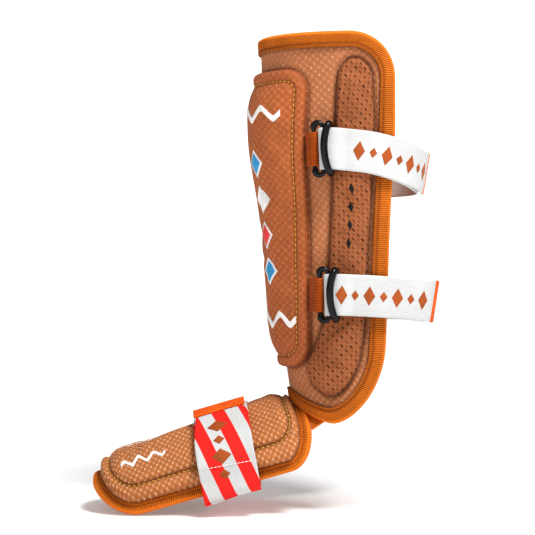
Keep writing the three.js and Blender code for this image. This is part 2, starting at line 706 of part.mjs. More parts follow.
// The short tab between the inside of the shell's lower front rim and the heel end of the foot guard.
function addAnkleTab() {
  const [columns, rows] = [12, 2];
  const span = radians(SHELL.halfSpan);
  const place = (i, j) => {
    const share = (2 * i) / columns - 1;
    const above = lerp(ANKLE.above, -ANKLE.clear, smoothstep(Math.abs(share), 0.1, 0.4));
    const inside = lerp(ANKLE.inside, ANKLE.depth, smoothstep(Math.abs(share), 0.4, 0.8));
    const shin = shellPoint(radians(ANKLE.spanOnShin * share) / span, 0, above, -inside);
    const round = ANKLE.spanOnFoot * share;
    const foot = footPoint(footHeelEdge(round) - ANKLE.clear, round, -ANKLE.depth);
    return shin.lerp(foot, j / rows);
  };
  const normal = (i, j) => {
    const across = place(Math.min(i + 1, columns), j).sub(place(Math.max(i - 1, 0), j));
    const down = place(i, rows).sub(place(i, 0));
    return across.cross(down).normalize();
  };
  const side = (i, j, sign) => place(i, j).addScaledVector(normal(i, j), (sign * ANKLE.thickness) / 2);
  const geometry = slab(columns, rows, (i, j) => side(i, j, 1), (i, j) => side(i, j, -1));
  add("ankle_tab", geometry, COLOR.tape, 0.75);
}

addShell();
addPlate();
addRib("rib_pad_near", 1);
addRib("rib_pad_far", -1);
for (const row of STRAP_ROWS) {
  addStrap(row);
  addLoopAndKeeper(row);
  addTab(row);
}
addFootPad();
addFootDome();
addFootStrap();
addAnkleTab();

export default parts;
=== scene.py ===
"""Leg guard with a foot guard: the finished looks of its pads, edge tapes, elastic straps and fittings.

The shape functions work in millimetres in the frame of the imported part: +Z up, the toe to -X, the side
with the strap loops to -Y. Angles round the leg are counted from the front and grow towards that side.
"""

import math
from types import SimpleNamespace as Row

import bpy
import numpy as np
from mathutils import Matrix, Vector


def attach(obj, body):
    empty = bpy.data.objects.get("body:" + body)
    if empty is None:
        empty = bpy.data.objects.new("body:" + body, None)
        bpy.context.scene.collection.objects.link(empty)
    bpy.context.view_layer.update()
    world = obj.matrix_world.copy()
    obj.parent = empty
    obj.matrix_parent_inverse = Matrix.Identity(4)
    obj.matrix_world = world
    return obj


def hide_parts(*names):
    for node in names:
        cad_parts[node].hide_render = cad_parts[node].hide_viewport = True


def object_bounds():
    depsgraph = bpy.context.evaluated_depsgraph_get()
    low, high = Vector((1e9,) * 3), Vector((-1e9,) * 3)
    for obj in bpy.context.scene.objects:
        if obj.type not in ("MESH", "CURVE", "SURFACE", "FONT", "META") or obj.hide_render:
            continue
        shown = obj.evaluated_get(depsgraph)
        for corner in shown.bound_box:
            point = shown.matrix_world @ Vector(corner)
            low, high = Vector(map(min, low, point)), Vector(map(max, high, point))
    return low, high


bl_info = {
    "name": "Leg Guard",
    "version": (1, 0, 0),
    "blender": (4, 5, 0),
    "location": "View3D > Sidebar > Leg Guard",
    "description": "Builds the pads, tapes, straps and fittings of a leg guard over its packed solids",
    "category": "Object",
}

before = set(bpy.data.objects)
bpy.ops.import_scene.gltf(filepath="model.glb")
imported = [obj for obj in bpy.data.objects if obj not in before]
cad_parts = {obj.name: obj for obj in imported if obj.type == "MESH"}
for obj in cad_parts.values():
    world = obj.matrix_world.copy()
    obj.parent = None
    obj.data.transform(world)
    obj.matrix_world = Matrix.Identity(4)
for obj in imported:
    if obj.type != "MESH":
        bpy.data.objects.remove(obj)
CAD_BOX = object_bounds()

MM = 0.001
GAP = 0.3  # between pieces that touch
TAPE_GAP = 0.5  # between an edge tape and the panel that it is folded over
CLOTH_MAP = "cloth"  # UV map whose unit is one millimetre of the cloth
# The crease attribute carries painted light: finishes paint shade where it is above 0, and a highlight on a
# tape's roll where it is below 0.
CREASE = "crease"  # attribute: 1 in the depth of a seam or fold, 0 on open cloth, -1 on a tape's roll
SHARP_ANGLE = math.radians(50)  # above it an edge between faces is shaded sharp
THIN_EDGE = 0.15  # least share of a ribbon's thickness at its edges and ends
COVER_PRESSURE = 6.0  # of the cloth simulation
COVER_FRAMES = 20
COVER_EASE = 8  # over which the swell sets in beside the seams
COVER_CREASE = Row(reach=1.4, edge=0.9, seam=0.75)  # painted shade: reach, and strength at the edge and in the seam
# Painted shade on the shell beside the front panel and beside the tape: reaches, and the share by the tape.
SHELL_CREASE = Row(plate=1.8, tape=1.5, tape_share=0.7)
# Painted shade on the foot base round the dome and beside the tape: reaches, and shares.
FOOT_CREASE = Row(dome=1.2, dome_share=0.6, tape=0.8, tape_share=0.5)
TAPE_ROLL = 3.2  # how far an edge tape's roll reaches in from the rim
TAPE_GROOVE = 2.7  # from an edge tape's inner edge to its sewn groove
TAPE_STEPS = 4  # points along the rim for each rib
TAPE_FOLD = Row(at=2.0, reach=1.6)  # painted shade in the fold beside a tape's inner edge
TAPE_ROLL_HIGHLIGHT = Row(start=3.3, reach=1.8)  # painted highlight on the roll over the rim
RIM_STEPS = 161  # points along each side of a panel's outline
# Columns and rows of the padded pieces. Of a pair, the first goes through cloth simulation
SHELL_GRID, FOOT_GRID = (190, 200), (160, 200)
PLATE_GRIDS, RIB_GRIDS, DOME_GRIDS = ((37, 61), (140, 240)), ((15, 61), (48, 230)), ((33, 45), (120, 180))
TRIM_DEPTH = 0.25  # how far the underside of a trim lies below the cloth

LEG = Row(
    depth=65.1, depth_taper=0.078, bulge=5, bulge_height=68, bulge_reach=42, ankle=-80, ankle_rate=0.0009,
    width=51.5, width_taper=0.044,
)
SHELL = Row(
    thickness=6, top=150, half_span=math.radians(111.5), top_corner=36, bottom_front=-139.5, lobe_drop=14.0,
    lobe_start=math.radians(5), lobe_end=math.radians(70), lower_corner_along=46, lower_corner_up=62,
)
# fold: strength of the painted shade in the fold beside the tape's inner edge.
SHIN_TAPE = Row(width=12.5, thickness=1.5, fold=1.0)
PLATE = Row(
    top=122, bottom=-110, half_span_top=math.radians(59.8), half_span_bottom=math.radians(50), corner=20,
    seat=0.6, edge=2.0, border=6.2, border_shoulder=4, height=9.3, shoulder=20, seam=9.5, channel=1.5,
    before_seam=2, held=11.0,
)
RIB_GROOVE = Row(depth=2.3, reach=2.4)
RIB = Row(seat=GAP - RIB_GROOVE.depth, edge=0.6, height=6.8, shoulder=5, seam=None, held=2.5)
RIB_ROWS = (  # height, and the angles of the front and back edge of the pad in degrees
    (129, 79.5, 94), (118, 76.6, 97), (79, 75.4, 98.5), (12, 71, 97), (-28, 68, 95.5),
    (-76, 61.6, 94), (-95, 53, 92), (-108, 43.5, 89.5), (-121, 47, 82.5), (-128, 55, 76), (-131, 62, 70),
)
RIB_TOP, RIB_BOTTOM = RIB_ROWS[0][0], RIB_ROWS[-1][0]
RIB_END = Row(top=13, bottom=3, least=0.12)  # reach of the rounded ends, and the share of width left there
RIB_SMOOTH = 4  # reach over which the rows are smoothed
STRAP = Row(
    width=32, thickness=1.6, far_lift=1.6, lift=6, back_power=2.4, slope_start=76, slope_end=164, flare=0.17,
    fold_turn=1.2, tip_start=105,
)
STRAP_ROWS = (
    Row(
        name="upper", z=59, drop=16.5, back=44.5, tip_angle=168, tip_lift=2, loop_angle=69.8,
        keeper_angle=73.5, flat_angle=83, keeper_lift=10, far_start=60.5, far_flat=73,
    ),
    Row(
        name="lower", z=-52.5, drop=6, back=50.5, tip_angle=151, tip_lift=6, loop_angle=70,
        keeper_angle=74.6, flat_angle=87, keeper_lift=11.3, far_start=53.5, far_flat=62.5,
    ),
)
STRAP_TIP = Row(width=33, length=5.5, thickness=2.4)
LOOP = Row(bar=3.2, spacing=6.9, straight=33, over=1.0, fuller=0.6)
KEEPER = Row(bar=4.4, tall=37.6, corner=3.2, bow=3.4, bow_out=2.0, fuller=0.3)
TAB = Row(width=26, thickness=1.2, clear=1.0, outer_seat=3.6, inner_seat=1.4, wrap_start=112.5, wrap_end=-90)
FOOT = Row(x=-46.3, z=-140, slope=math.radians(19.4), radius=47, thickness=6)
FOOT_PAD = Row(
    heel=-4, toe=174, half_heel=73, half_toe=61, heel_along=26, heel_across=42, toe_along=34, toe_across=46,
    rise=10.6, shoulder=4.5, groove=2.4, groove_reach=2.2,
)
# fold: strength of the painted shade in the fold beside the tape's inner edge.
FOOT_TAPE = Row(width=8.5, thickness=1.3, fold=0.2)
FOOT_DOME = Row(
    heel=11, toe=156.5, half_heel=50, half_toe=44, heel_along=16, heel_across=16, toe_along=20, toe_across=24,
    seat=8.0, edge=0.5, height=5.5, shoulder=11, seam=None, held=3.0,
)
FOOT_STRAP = Row(
    middle=70.5, lean=0.158, width=45, end_width=38.5, thickness=1.6, dome_lift=15, under=-46.5,
    side=55.3, corner=6, seam=52.5,
)
FOOT_STRAP_TIP = Row(width=42, length=9.5, thickness=2.4)
TAPE_STITCH = Row(step=3.4, length=2.5, lift=-0.3)  # over the tape's own surface
STRAP_STITCH = Row(step=3.0, length=2.6, half=19.5, lift=0.1)
FINER = 0.8  # share of the seam thread's thickness in those two seams
PLATE_SEAM_LIFT = 0.25
SIDE_SEAM = Row(away=3.4, lift=0.05)  # from the side pad's edge, and over the shell
FOOT_SEAM = Row(away=0.6, lift=0.4)  # from the dome's edge, and over its foot
ANKLE = Row(thickness=2, span_on_shin=54, span_on_foot=43, inside=9.6, above=5, depth=3, clear=0.35)
# Mesh cloths: the lattice's pitch and turn, the size, slimness and lean of its dots, their strength and that
# of the painted shade in the net's hollows, and whether the dots are sunk, as holes painted dark with shade
SHIN_MESH = Row(
    pitch="yarn_pitch", turn=0.7, size=0.3, slim=1.7, lean=0.2, share=0.55, hollow=0.3, sunk=False,
)
PLATE_MESH = Row(
    pitch="yarn_pitch", turn=0.785, size=0.28, slim=1.4, lean=0.6, share=0.26, hollow=0.32, sunk=False,
)
RIB_MESH = Row(
    pitch="hole_pitch", turn=0.9, size=0.36, slim=2.2, lean=-0.5, share=1.0, hollow=0.4, sunk=True,
)
FOOT_MESH = Row(
    pitch="foot_pitch", turn=0.785, size=0.3, slim=1.15, lean=0.0, share=0.95, hollow=0.4, sunk=False,
)
ELASTIC = Row(cords=1.3, picks=0.9, slant=-0.27)  # pitches of the weave, and the slant of the stripes


def smoothstep(value, low, high):
    """0 below low, 1 above high, and 3t^2 - 2t^3 between them."""
    t = np.clip((value - low) / (high - low), 0, 1)
    return t * t * (3 - 2 * t)


def bell(distance, reach):
    """exp(-(distance / reach)^2), which is 1 at no distance and fades out."""
    return np.exp(-((distance / reach) ** 2))


def quarter(share):
    """Height of a quarter circle, from 0 to 1 as the share goes from 0 to 1."""
    return np.sqrt(1 - (1 - np.clip(share, 0, 1)) ** 2)


def lerp(low, high, share):
    """The value at a share of the way from low to high."""
    return low + (high - low) * share


def spread(count):
    """count values from -1 to 1 in equal turns of a half circle, so that they crowd towards both ends."""
    return np.sin(np.linspace(-0.5, 0.5, count) * np.pi)


def unspread(value):
    """Share from 0 to 1 of the way through spread at which it gives a value."""
    return np.arcsin(np.clip(value, -1, 1)) / np.pi + 0.5


def unit(vectors):
    """The vectors at length 1."""
    return vectors / np.maximum(np.linalg.norm(vectors, axis=-1, keepdims=True), 1e-9)


def point(x, y, z):
    """Coordinates of any matching shapes as one array of points."""
    return np.stack(np.broadcast_arrays(x, y, z), -1).astype(float)


def lengths_along(path):
    """Distance of each point of a path from its start, along the path."""
    return np.concatenate([[0], np.cumsum(np.linalg.norm(np.diff(path, axis=0), axis=1))])


def at_lengths(path, values, wanted):
    """Values given at the points of a path, read at the wanted lengths along it."""
    along = lengths_along(path)
    return np.stack([np.interp(wanted, along, column) for column in np.atleast_2d(values.T)], -1)


def edge_distance(flat, outline):
    """Shortest distance of flat points to the straight pieces of a closed outline."""
    start, step = outline, np.roll(outline, -1, 0) - outline
    size = np.maximum((step**2).sum(1), 1e-9)
    found = []
    for some in np.array_split(flat.reshape(-1, 2), max(1, flat.size // 8192)):
        share = np.clip(((some[:, None] - start) * step).sum(2) / size, 0, 1)
        found.append(np.linalg.norm(some[:, None] - start - share[..., None] * step, axis=2).min(1))
    return np.concatenate(found).reshape(flat.shape[:-1])


# Leg surface


def leg_radii(z):
    """Front and side radius of the leg at a height: straight tapers. The front has a bell-shaped swell, and
    draws in by the square of the distance below the ankle's height."""
    calf = LEG.bulge * bell(z - LEG.bulge_height, LEG.bulge_reach)
    drawn_in = LEG.ankle_rate * np.maximum(LEG.ankle - z, 0) ** 2
    return LEG.depth + LEG.depth_taper * z + calf - drawn_in, LEG.width + LEG.width_taper * z


def leg_normal(angle, z):
    """Outward direction of the leg's ellipse at an angle from the front."""
    depth, width = leg_radii(z)
    return unit(point(-np.cos(angle) / depth, -np.sin(angle) / width, 0 * z))


def leg_point(angle, z, lift=0.0):
    """Point of the leg's ellipse at an angle and a height, moved out along its normal by the lift."""
    depth, width = leg_radii(z)
    lift = np.asarray(lift, float)[..., None]
    return point(-depth * np.cos(angle), -width * np.sin(angle), z) + lift * leg_normal(angle, z)


def leg_rate(angle, z):
    """Millimetres along the leg's ellipse for each radian."""
    depth, width = leg_radii(z)
    return np.hypot(depth * np.sin(angle), width * np.cos(angle))


def leg_arc(angle, z):
    """Length along the leg's ellipse from the front to an angle, by Simpson's rule."""
    return angle / 6 * (leg_rate(0 * angle, z) + 4 * leg_rate(angle / 2, z) + leg_rate(angle, z))


def leg_angle(arc, z):
    """Angle at a length along the leg's ellipse from the front, by repeated correction."""
    angle = arc / leg_rate(0 * arc, z)
    for _ in range(8):
        angle = angle * np.where(np.abs(arc) > 1e-6, arc / np.where(arc == 0, 1, leg_arc(angle, z)), 1)
    return angle


def leg_flat(angle, z):
    """Flat places of points of the leg: the length along its ellipse from the front, and the height."""
    return np.stack([leg_arc(angle, z), z], -1)


def shell_column(share, inset):
    """Angle and height of both ends of shell columns (share -1 to 1), for a rim drawn in by inset.

    The upper rim is level with quarter-circle corners. The lower rim drops smoothly from the front to two
    side lobes and ends in elliptical corners.
    """
    span = SHELL.half_span
    upper_rate = leg_rate(span, SHELL.top - SHELL.top_corner)
    lower_rate = leg_rate(span, SHELL.bottom_front)
    upper = (span - inset / upper_rate) * share
    lower = (span - inset / lower_rate) * share
    corner = SHELL.top_corner - inset
    from_back = (span - np.abs(upper)) * upper_rate - inset
    top = SHELL.top - inset - corner * (1 - quarter(from_back / corner))
    lobe = smoothstep(np.abs(lower), SHELL.lobe_start, SHELL.lobe_end)
    along = SHELL.lower_corner_along - inset
    from_back = (span - np.abs(lower)) * lower_rate - inset
    rise = (SHELL.lower_corner_up - inset) * (1 - quarter(from_back / along))
    return upper, top, lower, SHELL.bottom_front - SHELL.lobe_drop * lobe + inset + rise


def shell_flat(share, height, inset):
    """Angle and height on the shell at a column share and a height share."""
    upper, top, lower, bottom = shell_column(share, inset)
    return lerp(lower, upper, height), lerp(bottom, top, height)


def shell_point(share, height, inset, lift):
    """Point of the shell at a column share and a height share."""
    return leg_point(*shell_flat(share, height, inset), lift)


def shell_rim(turn):
    """Column and height share round the rim: turn 0-1 along the top, 1-2 down the far side, 2-3 along the
    bottom and 3-4 up the near side."""
    part, share = np.floor(turn).astype(int) % 4, turn % 1
    swing, one = np.sin((share - 0.5) * np.pi), np.ones_like(share)
    return np.choose(part, [-swing, -one, swing, one]), np.choose(part, [one, 1 - share, 0 * one, share])


# Foot surface

FOOT_AXIS = np.array([-math.cos(FOOT.slope), 0, -math.sin(FOOT.slope)])
FOOT_UP = np.array([-math.sin(FOOT.slope), 0, math.cos(FOOT.slope)])


def foot_place(along, across, up):
    """Point by its place along the foot's sloping axis, across the foot and up from the ridge of the arch."""
    along, across, up = np.broadcast_arrays(along, across, up)
    middle = point(FOOT.x, across, FOOT.z)
    return middle + along[..., None] * FOOT_AXIS + up[..., None] * FOOT_UP


def foot_point(along, around, lift=0.0):
    """Point of the round arch: along its axis, round it from the ridge, and a lift out from it."""
    turn, radius = around / FOOT.radius, FOOT.radius + lift
    return foot_place(along, -radius * np.sin(turn), radius * np.cos(turn) - FOOT.radius)


def foot_normal(around):
    """Outward direction of the arch."""
    turn = np.asarray(around / FOOT.radius)
    return -np.sin(turn)[..., None] * np.array([0, 1.0, 0]) + np.cos(turn)[..., None] * FOOT_UP


def foot_half(panel, along, inset):
    """Half width of a foot panel round the arch: a straight taper with elliptical corners at heel and toe."""
    share = (along - panel.heel) / (panel.toe - panel.heel)

    def corner(to_end, reach, depth):
        return (depth - inset) * (1 - quarter((to_end - inset) / (reach - inset)))

    heel = corner(along - panel.heel, panel.heel_along, panel.heel_across)
    toe = corner(panel.toe - along, panel.toe_along, panel.toe_across)
    return lerp(panel.half_heel, panel.half_toe, share) - inset - heel - toe


def foot_along(panel, share, inset):
    """Place along the foot axis of a share from -1 at the heel end to 1 at the toe end."""
    return (panel.heel + panel.toe) / 2 + ((panel.toe - panel.heel) / 2 - inset) * share


def foot_rim(turn):
    """Along and side share round a foot panel: turn 0-1 along the near side to the toe, 1-2 round the toe,
    2-3 back along the far side and 3-4 round the heel."""
    part, share = np.floor(turn).astype(int) % 4, turn % 1
    swing, one = np.sin((share - 0.5) * np.pi), np.ones_like(share)
    across = 1 - 2 * share
    return np.choose(part, [swing, one, -swing, -one]), np.choose(part, [one, across, -one, -across])


# Meshes


def cells(columns, rows, round_u=False, round_v=False):
    """Corner indices of the cells of a grid, for its points and for its UV points. A direction that runs
    round joins its last points to its first, and has its first again at the end as UV points."""
    i, j = np.indices((columns - (not round_u), rows - (not round_v)))
    corners = [(i, j), (i + 1, j), (i + 1, j + 1), (i, j + 1)]
    tall = rows + round_v
    points = np.stack([(a % columns) * rows + b % rows for a, b in corners], -1)
    marks = np.stack([a * tall + b for a, b in corners], -1)
    return points.reshape(-1, 4), marks.reshape(-1, 4)


def slab(outer, inner):
    """Points and cells of a wall between two like grids of points, closed round its border."""
    columns, rows = outer.shape[:2]
    at = np.arange(columns * rows).reshape(columns, rows)
    border = np.concatenate([at[:-1, 0], at[-1, :-1], at[:0:-1, -1], at[0, :0:-1]])
    after, half = np.roll(border, -1), columns * rows
    face = cells(columns, rows)[0]
    rim = np.stack([after, border, border + half, after + half], 1)
    places = np.concatenate([outer.reshape(-1, 3), inner.reshape(-1, 3)])
    return places, np.concatenate([face, face[:, ::-1] + half, rim])


def two_sided(flat):
    """Flat places of a slab: those of its outer points, and again for its inner points."""
    return np.tile(flat.reshape(-1, 2), (2, 1))


def band(middle, normal, cross, width, thickness, steps):
    """Points, cells and UV of a ribbon: a flat section with rounded edges along a path, closed at its ends.

    Half the thickness is a quarter circle of the distance to the nearest edge or end, with a least share.
    """
    along = lengths_along(middle)
    share = spread(steps)
    half = thickness / 2
    to_edge = (1 - np.abs(share)) * np.mean(width) / 2
    to_end = np.minimum(along, along[-1] - along)
    edge, end = (np.maximum(quarter(reach / half), THIN_EDGE) for reach in (to_edge, to_end))
    tall = half * edge * end[:, None]
    across = np.asarray(width, float).reshape(-1, 1) / 2 * share + 0 * along[:, None]
    flat = middle[:, None] + across[..., None] * cross[:, None]
    top, bottom = flat + tall[..., None] * normal[:, None], flat - tall[..., None] * normal[:, None]
    places = np.concatenate([top, bottom[:, ::-1]], 1)
    marks = point(along[:, None], across, 0)[..., :2]
    loop = 2 * steps
    j = np.arange(steps - 1)
    cap = np.stack([j, j + 1, loop - 2 - j, loop - 1 - j], 1)
    last = (len(along) - 1) * loop
    quads = np.concatenate([cells(len(along), loop, False, True)[0], cap, cap[:, ::-1] + last])
    return places.reshape(-1, 3), quads, np.concatenate([marks, marks[:, ::-1]], 1).reshape(-1, 2)


def frames_along(middle, up):
    """Along, normal and cross directions of a ribbon through middle points. Its width lies near up."""
    along = unit(np.gradient(middle, axis=0))
    normal = unit(np.cross(along, up))
    return along, normal, unit(np.cross(normal, along))


def volume(places, quads):
    """Signed volume of a closed mesh of quads."""
    a, b, c, d = (places[quads[:, k]] for k in range(4))
    return (np.cross(a, b) * c).sum() + (np.cross(a, c) * d).sum()


def piece(name, places, quads, finish, uv=None, uv_quads=None, node=None, crease=None):
    """A mesh object from points in millimetres and quads, faces turned outwards, riding on the part's body.

    finish names its material. crease gives, for the first points, how far each lies in a crease, from 0
    to 1, where finishes paint shade, or on a tape's roll, from 0 to -1, where they paint a highlight.
    """
    turn = slice(None, None, -1 if volume(places, quads) < 0 else 1)
    quads = quads[:, turn]
    mesh = bpy.data.meshes.new(name)
    mesh.vertices.add(len(places))
    mesh.vertices.foreach_set("co", (places * MM).astype(np.float32).ravel())
    mesh.loops.add(quads.size)
    mesh.loops.foreach_set("vertex_index", quads.astype(np.int32).ravel())
    mesh.polygons.add(len(quads))
    mesh.polygons.foreach_set("loop_start", np.arange(0, quads.size, 4, dtype=np.int32))
    mesh.update(calc_edges=True)
    if uv is not None:
        marks = quads if uv_quads is None else uv_quads[:, turn]
        layer = mesh.uv_layers.new(name=CLOTH_MAP)
        layer.data.foreach_set("uv", uv[marks.ravel()].astype(np.float32).ravel())
    if crease is not None:
        depth = np.zeros(len(places), np.float32)
        depth[: crease.size] = np.clip(crease, -1, 1).ravel()
        mesh.attributes.new(CREASE, "FLOAT", "POINT").data.foreach_set("value", depth)
    mesh.shade_smooth()
    mesh.set_sharp_from_angle(angle=SHARP_ANGLE)
    mesh.validate()
    mesh.materials.append(finishes()[finish])
    made = bpy.data.objects.new(name, mesh)
    bpy.context.scene.collection.objects.link(made)
    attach(made, "root")
    if node:
        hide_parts(node)
    return made


def swell(places, quads, held, cap):
    """Moves of the points of a closed cover when cloth simulation blows it up.

    Held points are pinned, as sewn down. No point moves further than cap, in millimetres.
    """
    scene = bpy.context.scene
    mesh = bpy.data.meshes.new("cover")
    mesh.from_pydata(places * MM, [], quads.tolist())
    cover = bpy.data.objects.new("cover", mesh)
    scene.collection.objects.link(cover)
    cover.vertex_groups.new(name="held").add(np.flatnonzero(held).tolist(), 1.0, "REPLACE")
    cloth = cover.modifiers.new("cover", "CLOTH")
    cloth.settings.quality = 8
    cloth.settings.mass = 0.05
    cloth.settings.vertex_group_mass = "held"
    cloth.settings.use_pressure = True
    cloth.settings.uniform_pressure_force = COVER_PRESSURE
    cloth.settings.shrink_min = -0.02
    cloth.settings.effector_weights.gravity = 0
    for number in range(1, COVER_FRAMES + 1):
        scene.frame_set(number)
    seen = cover.evaluated_get(bpy.context.evaluated_depsgraph_get()).to_mesh()
    moved = np.empty(len(places) * 3, np.float32)
    seen.vertices.foreach_get("co", moved)
    bpy.data.objects.remove(cover)
    scene.frame_set(1)
    move = moved.reshape(-1, 3).astype(float) / MM - places
    size = np.linalg.norm(move, axis=1, keepdims=True)
    return move * np.minimum(1, cap / np.maximum(size, 1e-6))


def read_grid(values, i, j):
    """Values of a grid read at shares from 0 to 1 of both its directions, by straight interpolation."""
    i, j = np.broadcast_arrays(i * (values.shape[0] - 1), j * (values.shape[1] - 1))
    a = np.clip(i.astype(int), 0, values.shape[0] - 2)
    b = np.clip(j.astype(int), 0, values.shape[1] - 2)
    s, t = (i - a)[..., None], (j - b)[..., None]
    low = lerp(values[a, b], values[a + 1, b], s)
    high = lerp(values[a, b + 1], values[a + 1, b + 1], s)
    return lerp(low, high, t)


def stitches(path, normal, spacing, length, thickness):
    """Points and cells of a row of thread stitches: six-sided spindles along a path on a surface.

    The radius follows a half circle of the share along the stitch, and the middle stands highest.
    """
    along = lengths_along(path)
    starts = np.arange(0.5 * (spacing - length), along[-1] - length, spacing)
    share = np.array([0.0, 0.12, 0.38, 0.62, 0.88, 1.0])
    wanted = starts[:, None] + share * length
    shape = wanted.shape
    middle = at_lengths(path, path, wanted.ravel()).reshape(*shape, 3)
    out = unit(at_lengths(path, normal, wanted.ravel()).reshape(*shape, 3))
    ahead = unit(middle[:, -1] - middle[:, 0])[:, None]
    side = unit(np.cross(ahead, out))
    tall = thickness / 2 * np.maximum(np.sqrt(1 - (2 * share - 1) ** 2), 0.3)
    middle = middle + out * (thickness * 0.35 * np.sin(share * np.pi))[None, :, None]
    turn = np.arange(6) * np.pi / 3
    round_about = np.cos(turn)[:, None] * out[:, :, None] + np.sin(turn)[:, None] * side[:, :, None]
    places = middle[:, :, None] + tall[None, :, None, None] * round_about
    start = np.array([[0, 1, 2, 3], [3, 4, 5, 0]])  # the six points of the first ring of six
    one = np.concatenate([cells(6, 6, False, True)[0], start, start[:, ::-1] + 30])
    quads = (one[None] + 36 * np.arange(len(starts))[:, None, None]).reshape(-1, 4)
    return places.reshape(-1, 3), quads


# Settings


def srgb(red, green, blue):
    """A colour given as 0-255 screen values, as the linear values that Blender holds."""
    share = np.array([red, green, blue]) / 255
    linear = np.where(share <= 0.04045, share / 12.92, ((share + 0.055) / 1.055) ** 2.4)
    return (*linear.tolist(), 1.0)


def colour(name, description, *rgb):
    """A colour property with its default as 0-255 screen values."""
    return bpy.props.FloatVectorProperty(
        name=name, description=description, default=srgb(*rgb), size=4, min=0, max=1, subtype="COLOR"
    )


def length(name, description, millimetres):
    """A length property with its default in millimetres."""
    return bpy.props.FloatProperty(
        name=name, description=description, default=millimetres * MM, min=0, unit="LENGTH", precision=4
    )


class GuardColours(bpy.types.PropertyGroup):
    """Colours of the leg guard's cloths, tapes and fittings."""

    mesh: colour("Shin mesh", "Mesh cloth of the shell", 202, 132, 90)
    rib: colour("Side mesh", "Perforated mesh cloth of the side pads", 175, 107, 68)
    plate: colour("Front mesh", "Mesh cloth of the raised front panel", 197, 113, 66)
    foot: colour("Foot mesh", "Mesh cloth of the foot guard", 202, 129, 78)
    # Bright yarn: pale yarn dots, lightened further as painted glints of the shiny yarn.
    yarn: colour("Bright yarn", "Shiny yarn dots of the mesh cloth", 240, 196, 158)
    # Hole: painted shade, standing in for the depth of the side pads' holes.
    hole: colour("Hole", "Depth of the holes in the side pads", 60, 30, 16)
    tape: colour("Edge tape", "Ribbed tape sewn round the edges", 221, 122, 33)
    webbing: colour("Webbing", "Woven tabs that hold the loops", 172, 80, 18)
    thread: colour("Seam thread", "Golden thread of the sewn channels", 238, 182, 78)
    tape_thread: colour("Tape thread", "Thread that holds the edge tape", 150, 70, 15)
    pale_thread: colour("Pale thread", "Thread of the seams beside the side pads", 208, 144, 108)
    elastic: colour("Elastic", "White elastic of the straps", 206, 207, 206)
    stripe: colour("Stripe", "Red stripes of the foot strap", 230, 44, 38)
    tip: colour("Strap end", "Sewn ends of the straps", 250, 104, 30)
    rubber: colour("Rubber", "Loops and keepers", 14, 14, 18)
    white_trim: colour("White trim", "Raised white trim", 244, 242, 240)
    blue_trim: colour("Blue trim", "Raised blue trim", 60, 160, 214)
    red_trim: colour("Red trim", "Raised red trim", 238, 72, 72)
    brown_trim: colour("Brown trim", "Lozenges on the straps", 166, 84, 36)
    dark_trim: colour("Dark trim", "Lozenges on the side pads", 26, 18, 16)


class GuardSizes(bpy.types.PropertyGroup):
    """Sizes of the leg guard's weave, seams and padding."""

    yarn_pitch: length("Yarn dots", "Distance between neighbouring yarn dots of the mesh", 4.3)
    foot_pitch: length("Foot yarn dots", "Distance between neighbouring yarn dots on the foot guard", 3.5)
    hole_pitch: length("Holes", "Distance between neighbouring holes of the side pads", 4.9)
    knit_pitch: length("Knit", "Distance between the loops of the mesh's fine knit", 1.1)
    tape_pitch: length("Tape ribs", "Distance between the ribs of the edge tape", 1.45)
    tape_rib: length("Tape rib height", "How far the ribs of the edge tape stand up", 0.3)
    stitch: length("Stitch", "Length of one stitch", 3.0)
    stitch_step: length("Stitch step", "Distance from stitch to stitch", 4.0)
    thread: length("Thread", "Thickness of the seam thread", 0.85)
    fine_thread: length("Fine thread", "Thickness of the thread beside the side pads", 0.55)
    seam_depth: length("Seam depth", "How deep the sewn channels pull in", 1.5)
    cover_swell: length("Swell", "How far a cover may swell between its seams", 1.3)
    stripe_step: length("Stripes", "Distance from stripe to stripe on the foot strap", 21.5)


def in_mm(name):
    """One of the scene's sizes of the leg guard, in millimetres."""
    return getattr(bpy.context.scene.leg_guard_sizes, name) / MM


def setting(name, description, default, unit="NONE"):
    """A number property of the studio."""
    return bpy.props.FloatProperty(name=name, description=description, default=default, min=0, unit=unit)


class StageSettings(bpy.types.PropertyGroup):
    """Camera, floor and lights of the studio."""

    distance: setting("Camera distance", "From the leg axis to the camera", 1.3, "LENGTH")
    field: setting("Field", "Width that the camera sees at the leg axis", 0.428, "LENGTH")
    key: setting("Key light", "Power of the large light above", 25.0, "POWER")
    fill: setting("Fill light", "Power of the light beside the camera", 3.0, "POWER")
    sky: setting("Sky", "Brightness of the white surroundings", 0.26)


# Finishes


